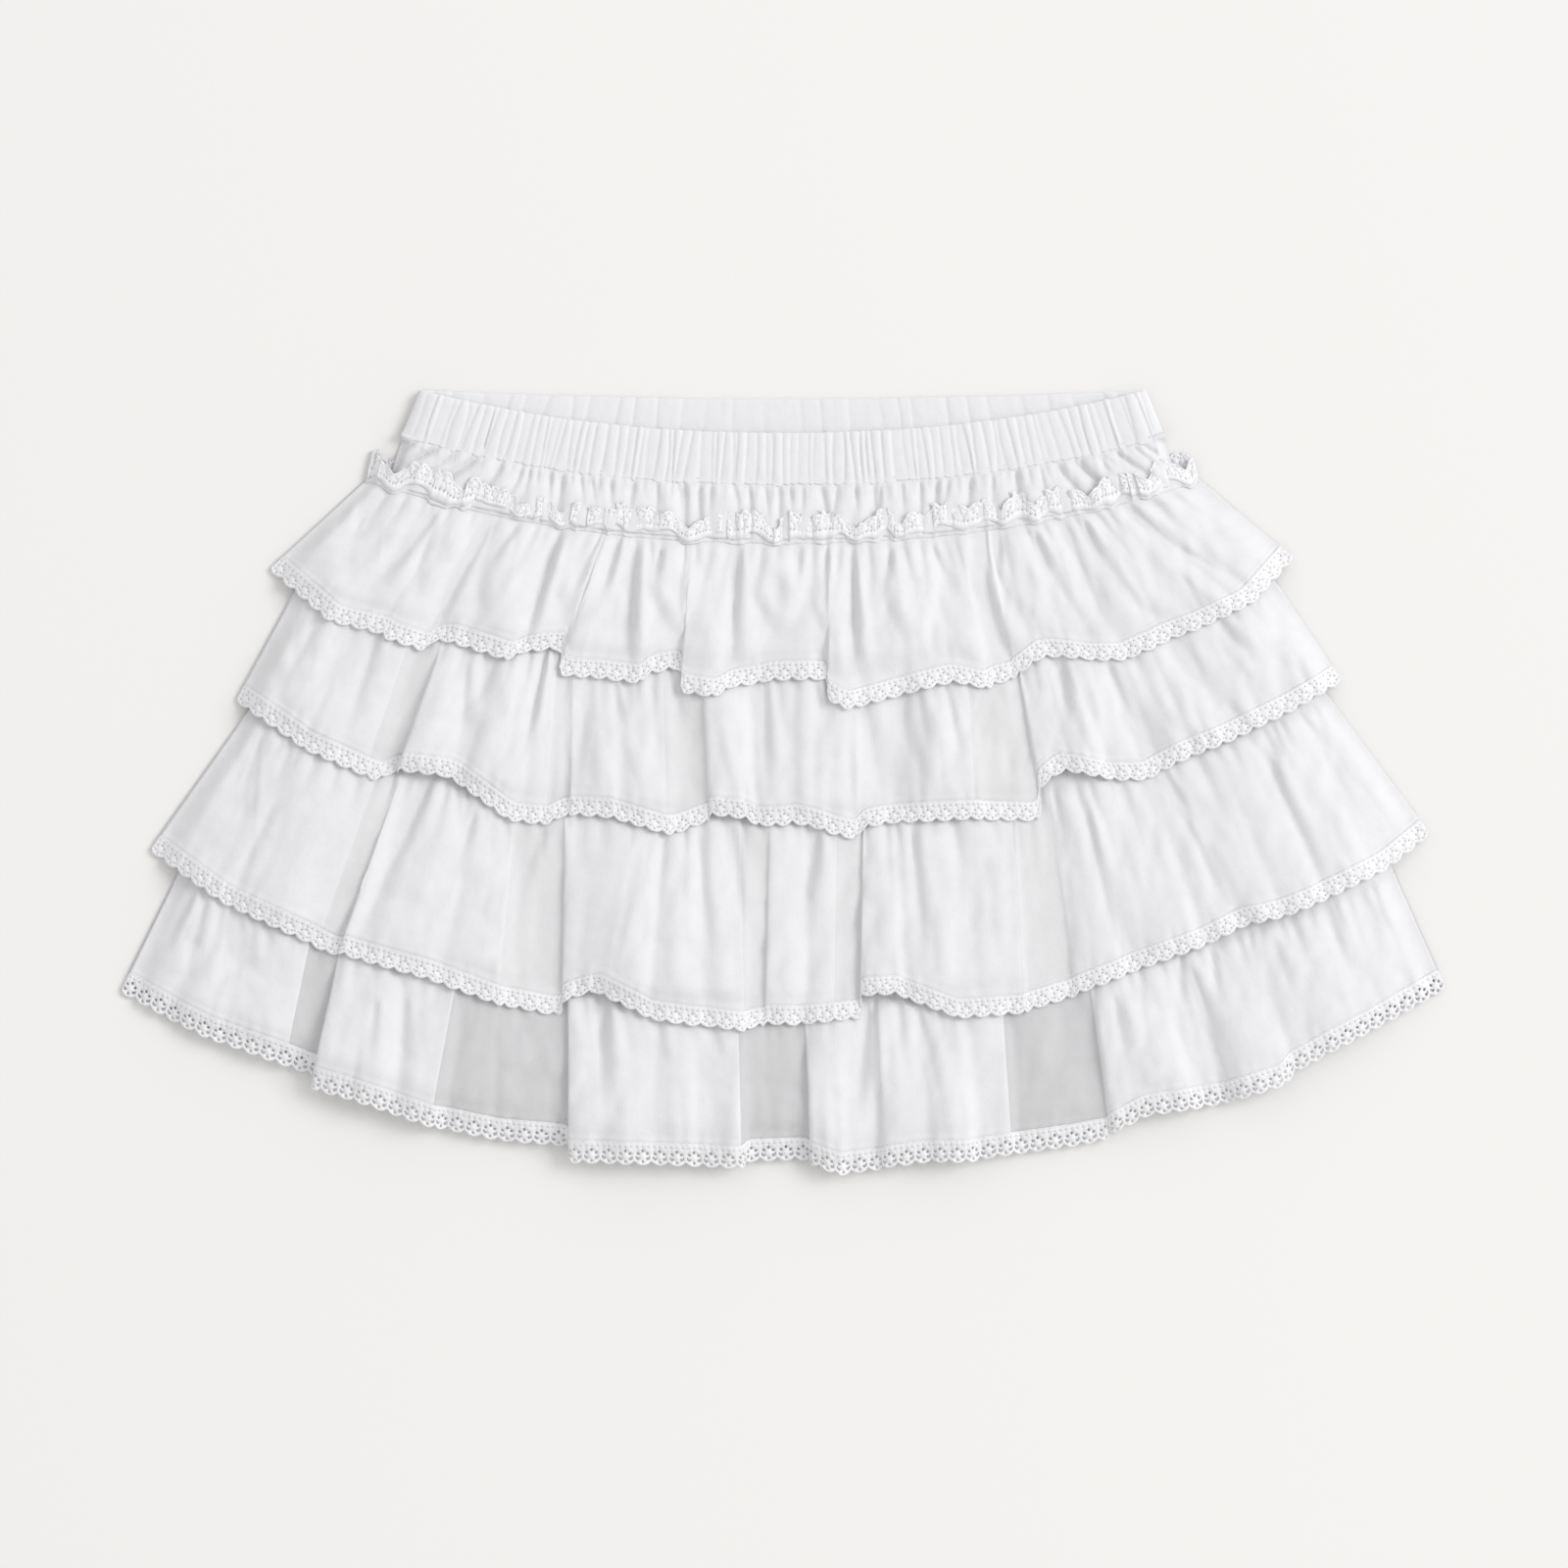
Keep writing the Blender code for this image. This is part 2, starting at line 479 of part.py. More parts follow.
def hem_columns(tier):
    """x, y and lift along the hem: the ends of each fold and its crowned middle."""
    rows = []
    for f in FOLDS[tier]:
        rows.append((f.x0, f.y0, f.lift0))
        if f.crown > 0.0:
            rows.append(((f.x0 + f.x1) / 2, (f.y0 + f.y1) / 2, (f.lift0 + f.lift1) / 2 + f.crown))
        rows.append((f.x1, f.y1, f.lift1))
    return np.array(rows).T


def side_low(tier, x, y, t):
    """Underside of a front ruffle where nothing but its own sides holds it down."""
    row = TIERS[tier]
    left = mix(row.seam_left, row.hem_left, t)
    right = mix(row.seam_right, row.hem_right, t)
    inset = np.minimum(x - left, right - x)
    edge = WALL + CLEAR
    if tier > 1:
        edge = edge + LAYER * (1.0 - smooth((t - 0.2) / 0.3))
    full = BASE_BACK + 4.0 * LAYER
    if tier == 1:
        full = mix(YOKE_BACK + 4.0 * LAYER + 0.6, full, below_yoke(x, y))
    if tier == 4:
        full = full - smooth(t / 0.5) - HEM_FALL * smooth((t - 0.72) / 0.28)
    rise = np.clip(inset / (30.0 + 35.0 * t), 0.0, 1.0)
    low = edge + (full - edge) * (1.0 - (1.0 - rise) ** 2)
    if tier < 4:
        panel = front_panel_low(x, y) + LAYER + 0.5 * (1.0 - below_yoke(x, y))
        past = np.clip((np.abs(x) - table(BASE_HALF, y) - 1.0) / 6.0, 0.0, 1.0)
        low = np.maximum(low, mix(panel, 0.0, past))
    return low


def head_height(tier, outer):
    """How high the head of a ruffle reaches, as x against z for the one above it."""
    x = np.linspace(TIERS[tier].seam_left, TIERS[tier].seam_right, 181)
    z = np.max([np.interp(x, outer[r, :, 0], outer[r, :, 2]) for r in (0, 1)], axis=0)
    wide = np.array([z[max(i - 2, 0):i + 3].max() for i in range(z.size)])
    return x, wide


def front_ruffle(tier, head_below):
    """A ruffle of the front and its lace; returns the reach of its head."""
    row = TIERS[tier]
    hem_x, hem_y, lift = hem_columns(tier)
    head_x = table(FAN[tier], hem_x)
    head_y = seam_y(tier, head_x)
    length = np.hypot(hem_x - head_x, hem_y - head_y)
    cloth_end = 1.0 - row.lace / length
    way = np.stack([hem_x - head_x, hem_y - head_y]) / length
    hem_way = np.stack([np.gradient(hem_x), np.gradient(hem_y)])
    hem_way /= np.linalg.norm(hem_way, axis=0)
    across = np.abs(way[0] * hem_way[1] - way[1] * hem_way[0])
    lace_start = cloth_end + FOLDED_GAP / np.clip(across, 0.3, 1.0) / length
    odd = np.arange(hem_x.size) % 2
    side = smooth((1.0 - np.abs(share_of(hem_x, row.hem_left, row.hem_right))) / 0.08)

    def lap_start(t):
        """The share of the length at which this ruffle is clear over the next one's head."""
        for _ in range(4):
            x = mix(head_x, hem_x, t)
            t = (head_y - seam_y(tier + 1, x) - 3.0) / (head_y - hem_y)
        return np.clip(t, 0.5, cloth_end - 0.08)

    def outer(t):
        x, y = mix(head_x, hem_x, t), mix(head_y, hem_y, t)
        low = side_low(tier, x, y, np.clip(t, 0.0, 1.0))
        if head_below is not None:
            over = smooth((seam_y(tier + 1, x) + 15.0 - y) / 12.0)
            next_row = TIERS[tier + 1]
            reach = np.interp(x, *head_below) + CLEAR + 0.2
            left = (next_row.seam_left - x) / (next_row.seam_left - row.hem_left)
            right = (x - next_row.seam_right) / (row.hem_right - next_row.seam_right)
            reach = mix(reach, WALL + CLEAR, np.clip(np.maximum(left, right), 0.0, 1.0))
            low = np.maximum(low, mix(low, reach, over))
        gather = GATHER * odd * (1.0 - smooth(t / 0.5)) * side
        return np.stack([x, y, low + WALL + lift * grown(np.clip(t, 0, 1)) + gather], -1)

    last = lap_start(0.8 + 0.0 * hem_x) if head_below is not None else 0.72 + 0.0 * hem_x
    stages = [0.0 * hem_x, (0.35 if tier == 1 else 0.17) + 0.0 * hem_x, last, cloth_end, 1.0 + 0.0 * hem_x]
    rows = [outer(t) for t in stages]
    reach = head_height(tier, np.array(rows))
    if tier == 1:
        head = rows[0].copy()
        head[:, 1] += HEADING - HEADING_SWAY * odd * side
        head[:, 2] += HEADING_LIFT[0] + HEADING_LIFT[1] * odd * side
        rows.insert(0, head)
    cloth(f"tier_{tier}_front", np.array(rows[:-1]), COTTON)
    cloth(f"lace_{tier}_front", np.array([outer(lace_start), rows[-1]]), LACE)
    return reach


def build():
    for obj in list(bpy.data.objects):
        bpy.data.objects.remove(obj, do_unlink=True)
    bpy.context.scene.collection.children.link(bpy.data.collections.new(COLLECTION))
    waistband("waistband_back", BAND_TOP_BACK, BAND_LOW_BACK, 0.0, PLEATS_BACK)
    waistband("waistband_front", BAND_TOP_FRONT, BAND_LOW_FRONT, BAND_FRONT, PLEATS_FRONT)
    yoke("yoke_back", BAND_LOW_BACK, back_panel_low, YOKE_GATHERS // 2, YOKE_DEPTH_BACK)
    yoke("yoke_front", BAND_LOW_FRONT, front_panel_low, YOKE_GATHERS, YOKE_DEPTH)
    base("base_back", back_panel_low)
    base("base_front", front_panel_low)
    shorts("shorts_back", BAND_LOW_BACK, 0)
    shorts("shorts_front", BAND_LOW_FRONT, 1)
    for tier in TIERS:
        back_ruffle(tier)
    reach = None
    for tier in (4, 3, 2, 1):
        reach = front_ruffle(tier, reach)


build()
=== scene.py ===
"""Looks of a woman's white cotton ruffle skort that lies flat and face up.

Sizes are in millimetres until a mesh is made. X runs across the garment, Y up it from
hem to waist and Z up from the floor. Each piece of cloth is a surface over two shares: u
across the piece and t from its head to its hem. The driving sizes of each ruffle are the
same as those of the solids that the pieces stand for.
"""
import json
import logging
from dataclasses import dataclass, field
from enum import Enum
from functools import cached_property
from typing import Callable, ClassVar, Sequence

import bpy
import numpy as np
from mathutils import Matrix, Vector
from mathutils.geometry import delaunay_2d_cdt

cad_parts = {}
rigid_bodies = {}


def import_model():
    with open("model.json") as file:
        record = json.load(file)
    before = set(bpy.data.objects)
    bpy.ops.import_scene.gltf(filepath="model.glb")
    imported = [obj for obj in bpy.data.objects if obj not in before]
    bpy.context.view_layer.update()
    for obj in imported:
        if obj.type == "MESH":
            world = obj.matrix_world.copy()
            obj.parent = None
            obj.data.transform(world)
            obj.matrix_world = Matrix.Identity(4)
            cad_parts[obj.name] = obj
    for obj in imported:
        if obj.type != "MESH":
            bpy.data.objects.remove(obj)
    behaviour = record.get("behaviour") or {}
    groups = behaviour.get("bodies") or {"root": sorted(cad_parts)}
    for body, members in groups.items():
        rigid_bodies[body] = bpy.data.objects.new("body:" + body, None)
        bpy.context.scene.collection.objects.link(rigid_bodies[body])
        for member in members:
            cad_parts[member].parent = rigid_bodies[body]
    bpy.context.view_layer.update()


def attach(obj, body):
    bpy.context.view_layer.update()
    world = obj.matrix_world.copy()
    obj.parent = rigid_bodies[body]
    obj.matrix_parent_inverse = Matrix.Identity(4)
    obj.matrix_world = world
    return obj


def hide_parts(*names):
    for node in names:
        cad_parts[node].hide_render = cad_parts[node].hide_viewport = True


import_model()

Array = np.ndarray
Table = Sequence[tuple[float, float]]
log = logging.getLogger("skort")

MM = 0.001
WALL = 1.0                # height of the solids' walls, whose upper faces the cloth follows
CLOTH = 0.45              # a shell of voile, with its crimp
CLEAR = 0.4               # room between two walls
LAYER = WALL + CLEAR
HEADING = 11.0            # height of the little frill above the first gather line
HEM_TURN = 3.2            # depth of the turned hem above each lace
HEM_ROWS = ((0.3, 0.15), (0.8, 0.2), (1.8, 0.18), (HEM_TURN, 0.05))   # way down it, and how far it stands out
TUCKS = (3.0, 8.0, 8.0, 8.0)          # how far each front ruffle goes on above its gather line
YOKE_DROP = 25.0          # drop below the first gather line at which all layers are level
BASE_BACK = 3.9           # height of the back panel's underside, below that drop
YOKE_BACK = 1.6           # height of the back yoke's underside
BACK_LAP = 2.5            # how far a back ruffle's head rises over the hem above it
BAND_ROOM = 0.7           # more room for each layer at the waistband
HEM_FALL = 5.2            # how far the lowest ruffle comes down towards its hem
BAND_HALF = (167.0, 175.5)    # half width of the waistband, at its top and at its lower edge
BAND_TALL = 24.3
YOKE_HALF = 182.0         # half width of the yoke at its foot
YOKE_TALL = 34.0

# what each half was cut to: width and length in mm, and the area where it isn't a rectangle
BAND_CUT = (415.0, 26.5)
YOKE_CUT = (400.0, 36.0)
BASE_CUT, BASE_AREA = (534.0, 240.0), 108000.0
SHORTS_CUT, SHORTS_AREA = (460.0, 300.0), 107000.0


class Slot(Enum):
    """The record's material slots."""

    COTTON = "cotton"
    LACE = "lace"
    SHORTS = "shorts_cotton"


class Side(Enum):
    """The two faces of the flat garment."""

    FRONT = "front"
    BACK = "back"

    @property
    def up(self) -> float:
        """1 where the cloth's outer face looks up, -1 where it looks down."""
        return 1.0 if self is Side.FRONT else -1.0


# ---- small sums ------------------------------------------------------------------
def smooth(value: Array | float) -> Array:
    """Ease a value between 0 and 1."""
    value = np.clip(value, 0.0, 1.0)
    return value * value * (3.0 - 2.0 * value)


def mix(a: Array | float, b: Array | float, share: Array | float) -> Array:
    """Go from a to b by a share."""
    return a + (b - a) * share


def table(rows: Table, value: Array | float) -> Array:
    """Read a two-column table between its rows.

    Args:
        rows: Pairs in rising order.
        value: Where to read it.

    Returns:
        The second column there.
    """
    pairs = np.array(rows)
    return np.interp(value, pairs[:, 0], pairs[:, 1])


def share_of(x: Array | float, left: float, right: float) -> Array:
    """Where x lies between two ends, from -1 to 1."""
    return np.clip((2.0 * x - left - right) / (right - left), -1.0, 1.0)


def blur(values: Array, reach: float) -> Array:
    """Soften a row of values along its first axis, with its ends held.

    Args:
        values: Evenly spaced values.
        reach: Standard deviation of the blur, in steps.

    Returns:
        The softened row.
    """
    half = int(3 * reach) + 1
    weights = np.exp(-0.5 * (np.arange(-half, half + 1) / reach) ** 2)
    weights /= weights.sum()
    padded = np.concatenate([np.repeat(values[:1], half), values, np.repeat(values[-1:], half)])
    return np.convolve(padded, weights, "valid")


def soft_floor(value: Array, floor: Array | float, sharp: float) -> Array:
    """Keep a value above a floor; the bend between them is about 1 / sharp wide."""
    return floor + np.logaddexp(0.0, (value - floor) * sharp) / sharp


def distances(points: Array) -> Array:
    """Distance of each point from the first one, along the line through them."""
    return np.concatenate([[0.0], np.cumsum(np.linalg.norm(np.diff(points, axis=0), axis=1))])


def edge_curve(points: Array) -> tuple[Array, Array]:
    """Turn points along an edge into x against height."""
    order = np.argsort(points[:, 0])
    return points[order, 0], points[order, 2]


def grid_cells(rows: int, columns: int) -> Array:
    """Corner numbers of each cell of a grid of points."""
    number = np.arange(rows * columns).reshape(rows, columns)
    return np.stack([number[:-1, :-1], number[1:, :-1], number[1:, 1:], number[:-1, 1:]], -1)


@dataclass(frozen=True)
class Cloud:
    """Soft lumps without direction, the same on each run."""

    seed: int
    size: int = 96

    @cached_property
    def lattice(self) -> Array:
        """The random values that the lumps pass through."""
        return np.random.default_rng(self.seed).uniform(-1.0, 1.0, (self.size, self.size))

    def at(self, x: Array, y: Array, lump: float, stretch: float = 1.0) -> Array:
        """Height of the lumps.

        Args:
            x: Place across, mm.
            y: Place down, mm.
            lump: Size of a lump across, mm.
            stretch: How many times longer a lump is down than across.

        Returns:
            Values from -1 to 1.
        """
        gx, gy = x / lump, y / (lump * stretch)
        ix, iy = np.floor(gx).astype(int), np.floor(gy).astype(int)
        fx, fy = smooth(gx - ix), smooth(gy - iy)
        n = self.size
        low = mix(self.lattice[ix % n, iy % n], self.lattice[(ix + 1) % n, iy % n], fx)
        high = mix(self.lattice[ix % n, (iy + 1) % n], self.lattice[(ix + 1) % n, (iy + 1) % n], fx)
        return mix(low, high, fy)

    def folds(self, x: Array, y: Array, lump: float, stretch: float = 1.0) -> Array:
        """Height of soft facets that meet in creases.

        Args:
            x: Place across, mm.
            y: Place down, mm.
            lump: Size of a facet across, mm.
            stretch: How many times longer a facet is down than across.

        Returns:
            Values from about -0.6 to 1.
        """
        return 1.6 * np.sqrt(self.at(x + 31.0, y + 17.0, lump, stretch) ** 2 + 0.006) - 0.6


@dataclass(frozen=True)
class Pleats:
    """Sharp valleys that run from one edge of a strip to the other, with round ridges between."""

    first: Array              # where each valley starts, mm across
    last: Array               # where it ends
    bow: Array                # how far its middle stands off the straight line between
    height: Array             # of the ridge to the right of each valley, 0 to 1
    roundness: float = 2.2

    @classmethod
    def scatter(cls, seed: int, span: tuple[float, float], pitch: float, uneven: float, tilt: float,
                fan: float = 1.0, roundness: float = 2.2) -> "Pleats":
        """Place pleats unevenly.

        Args:
            seed: For the random values.
            span: Left and right end of the strip's first edge, mm.
            pitch: Usual distance between valleys, mm.
            uneven: How much that distance varies, as a share of it.
            tilt: How far the end of a valley stands off its place, mm.
            fan: Width of the last edge over that of the first one.
            roundness: Power of the ridges' curve.

        Returns:
            The pleats.
        """
        rng = np.random.default_rng(seed)
        steps = rng.uniform(1.0 - uneven, 1.0 + uneven, int(round((span[1] - span[0]) / pitch)))
        at = span[0] + (span[1] - span[0]) * np.concatenate([[0.0], np.cumsum(steps) / steps.sum()])
        end = at * fan + rng.normal(0.0, 1.0, at.size) * tilt
        high = np.clip(rng.uniform(0.3, 1.15, at.size), 0.0, 1.0)
        return cls(at, np.sort(end), rng.normal(0.0, 0.4 * tilt, at.size), high, roundness)

    def ridge(self, x: Array, share: float = 0.0) -> Array:
        """Height of the ridges, from 0 in a valley to 1.

        Args:
            x: Places across, mm.
            share: Share of the way from the first edge to the last.

        Returns:
            Heights.
        """
        valleys = np.sort(mix(self.first, self.last, share) + self.bow * np.sin(np.pi * share))
        at = np.interp(x, valleys, np.arange(self.first.size))
        whole = np.minimum(np.floor(at).astype(int), self.first.size - 2)
        return self.height[whole] * (1.0 - np.abs(2.0 * (at - whole) - 1.0) ** self.roundness)

    def relief(self, x: Array, shares: Array) -> Array:
        """Heights of the ridges on a grid with one share for each row."""
        return np.array([self.ridge(row, share) for row, share in zip(x, shares)])


# ---- driving sizes ---------------------------------------------------------------
@dataclass(frozen=True)
class Arc:
    """A curve across the garment.

    mid_y is its height on the centre line, rise how much higher its ends are, and tilt
    how much the right end is raised and the left one lowered.
    """

    mid_y: float
    rise: float
    power: float
    tilt: float = 0.0

    def at(self, s: Array | float) -> Array:
        """Height at s, from -1 at the left end to 1 at the right one."""
        return self.mid_y + self.rise * np.abs(s) ** self.power + self.tilt * s


@dataclass(frozen=True)
class Fold:
    """A fold of a front ruffle along its lace's lower edge, from left to right.

    lift is its height there above what it lies on, and crown how far its middle arches.
    """

    x0: float
    y0: float
    lift0: float
    x1: float
    y1: float
    lift1: float
    crown: float


def crease(off: Array, wide: Array | float) -> Array:
    """Profile of a crease: a sharp line with soft shoulders, 1 on the line itself.

    Args:
        off: Distance from the line, mm.
        wide: Width of the shoulders, mm.

    Returns:
        Values from 0 to 1.
    """
    return np.exp(0.3 - np.sqrt((off / wide) ** 2 + 0.09))


@dataclass(frozen=True)
class Crease:
    """A valley from one point to another.

    It is gentle on its left and steep on its right, where the next fold starts.
    """

    x0: float
    y0: float
    x1: float
    y1: float
    depth: float
    width: float

    def relief(self, x: Array, y: Array) -> Array:
        """How far the cloth is pushed down.

        Args:
            x: Place across, mm.
            y: Place up, mm.

        Returns:
            Heights, mm.
        """
        way = np.array([self.x1 - self.x0, self.y1 - self.y0])
        length = float(np.hypot(*way))
        way /= length
        along = ((x - self.x0) * way[0] + (y - self.y0) * way[1]) / length
        off = (x - self.x0) * -way[1] + (y - self.y0) * way[0]
        reach = smooth(along / 0.2 + 0.5) * smooth((1.15 - along) / 0.7)
        wide = self.width * (0.6 + 0.8 * np.clip(along, 0.0, 1.0))
        valley = crease(off, wide * np.where(off < 0.0, 1.6, 0.6))
        ridge = np.exp(-(((off - 1.9 * wide) / (1.3 * wide)) ** 2))
        return self.depth * reach * (0.4 * ridge - valley)


@dataclass(frozen=True)
class Puff:
    """A place where the cloth stands up like a drop, wide at its top and pointed at its foot."""

    x: float
    y: float
    half_wide: float
    half_tall: float
    height: float
    lean: float = 0.0         # how far its foot stands to the right, mm

    def relief(self, x: Array, y: Array) -> Array:
        """Heights of the puff.

        Args:
            x: Place across, mm.
            y: Place up, mm.

        Returns:
            Heights, mm.
        """
        down = (self.y - y) / self.half_tall
        wide = self.half_wide * (1.0 - 0.4 * np.clip(down, -1.0, 1.0))
        far = np.sqrt(((x - self.x - self.lean * down) / wide) ** 2 + down ** 2)
        return self.height * (1.0 - smooth((far - 0.35) / 0.75)) * (1.0 - 0.45 * np.exp(-((far / 0.45) ** 2)))


@dataclass(frozen=True)
class Gathers:
    """Valleys that start on a gathered seam and fade away from it, with the cloth puffed between."""

    at: Array                 # place of each along the seam, mm
    depth: Array
    width: Array
    length: Array
    slant: Array
    bend: Array
    puff: float

    @classmethod
    def scatter(cls, seed: int, span: tuple[float, float], pitch: float, depth: float,
                length: tuple[float, float], slant: float = 0.07, puff: float = 0.7,
                wide: float = 1.0) -> "Gathers":
        """Place gathers unevenly.

        Args:
            seed: For the random values.
            span: Left and right end of the seam, mm.
            pitch: Usual distance between two, mm.
            depth: Of a strong one, mm.
            length: Of a weak and of a strong one, mm.
            slant: How far they turn off the straight way, for each mm.
            puff: How high the cloth stands between them, as a share of the depth.
            wide: How wide they are, of the usual width.

        Returns:
            The gathers.
        """
        rng = np.random.default_rng(seed)
        count = int(round((span[1] - span[0]) / pitch))
        steps = rng.uniform(0.5, 1.5, count)
        at = span[0] + (span[1] - span[0]) * np.cumsum(steps) / steps.sum()
        strong = rng.uniform(0.2, 1.0, count) ** 1.3
        return cls(at, depth * (0.45 + 0.55 * strong), wide * (0.9 + 0.9 * strong), mix(*length, strong),
                   rng.normal(0.0, slant, count), rng.uniform(0.0, 6.28, count), puff * depth)

    def relief(self, x: Array, away: Array) -> Array:
        """Heights of the cloth.

        Args:
            x: Place along the seam where the thread starts, mm.
            away: Distance from the seam, mm.

        Returns:
            Heights, mm: 0 far from the seam.
        """
        x, away = np.broadcast_arrays(x, np.maximum(away, 0.0))
        total = self.puff * smooth(away / 5.0) * np.exp(-((away / 24.0) ** 2))
        held = mix(0.4, 1.0, smooth(away / 4.0))          # the seam itself flattens them
        for at, depth, width, length, slant, bend in zip(self.at, self.depth, self.width, self.length,
                                                         self.slant, self.bend):
            off = x - at - slant * away - 0.4 * np.sin(away / 7.0 + bend)
            wide = width * (1.0 + away / 16.0)
            fade = smooth(1.15 - away / length) * held
            total = total - depth * fade * crease(off, wide * np.where(off < 0.0, 1.25, 0.75))
        return total


@dataclass(frozen=True)
class Terrain:
    """Heights of a laid piece on an even grid, for the piece that comes to lie on it."""

    heights: Array
    corner: ClassVar[Array] = np.array([-324.0, -195.0])
    step: ClassVar[float] = 1.5
    shape: ClassVar[tuple[int, int]] = (433, 261)

    @classmethod
    def of(cls, points: Array) -> "Terrain":
        """Read the terrain off a cloud of points.

        Args:
            points: Rows of x, y and z in mm, closer than a step.

        Returns:
            The terrain, a little wider and softer than the piece.
        """
        heights = np.zeros(cls.shape)
        cell = np.rint((points[:, :2] - cls.corner) / cls.step).astype(int)
        np.maximum.at(heights, tuple(cell.T), points[:, 2])
        around = [(i, j) for i in (-1, 0, 1) for j in (-1, 0, 1)]
        heights = np.max([np.roll(heights, shift, (0, 1)) for shift in around], axis=0)
        return cls(np.mean([np.roll(heights, shift, (0, 1)) for shift in around], axis=0))

    def at(self, x: Array, y: Array) -> Array:
        """Height at a place, 0 beside the piece."""
        gx, gy = (x - self.corner[0]) / self.step, (y - self.corner[1]) / self.step
        ix, iy = np.floor(gx).astype(int), np.floor(gy).astype(int)
        low = mix(self.heights[ix, iy], self.heights[ix + 1, iy], gx - ix)
        return mix(low, mix(self.heights[ix, iy + 1], self.heights[ix + 1, iy + 1], gx - ix), gy - iy)


@dataclass(frozen=True)
class Plan:
    """The driving sizes of one ruffle: its gather line, its back hem and its edging."""

    seam: Arc
    seam_left: float
    seam_right: float
    hem_back: Arc
    hem_left: float
    hem_right: float
    lace: float

    def seam_y(self, x: Array | float) -> Array:
        """Height of the gather line at x."""
        return self.seam.at(share_of(x, self.seam_left, self.seam_right))


BAND_TOP = {Side.FRONT: Arc(160.9, 19.8, 2.2), Side.BACK: Arc(176.6, 4.1, 2.0)}
BAND_LOW = {Side.FRONT: Arc(136.6, 22.0, 2.2), Side.BACK: Arc(152.3, 6.3, 2.0)}

PLANS = {
    1: Plan(Arc(109.6, 29.2, 2.2), -192.6, 193.1, Arc(48.8, 51.0, 2.6, 2.7), -237.2, 235.8, 8.0),
    2: Plan(Arc(55.6, 35.3, 2.2, 0.7), -223.7, 227.7, Arc(-16.4, 58.5, 2.4, 4.5), -252.5, 257.9, 8.0),
    3: Plan(Arc(-14.2, 50.0, 2.2, 4.0), -247.1, 251.1, Arc(-106.0, 78.5, 2.2, 3.7), -292.1, 298.4, 8.0),
    4: Plan(Arc(-99.7, 57.8, 2.2, 1.6), -279.4, 281.2, Arc(-168.0, 72.2, 2.0, 0.7), -305.6, 305.6, 9.5),
}


def each(kind: type, rows: dict[int, Sequence[tuple[float, ...]]]) -> dict[int, tuple]:
    """Make a fold, crease or puff of each row, for each ruffle."""
    return {number: tuple(kind(*row) for row in group) for number, group in rows.items()}


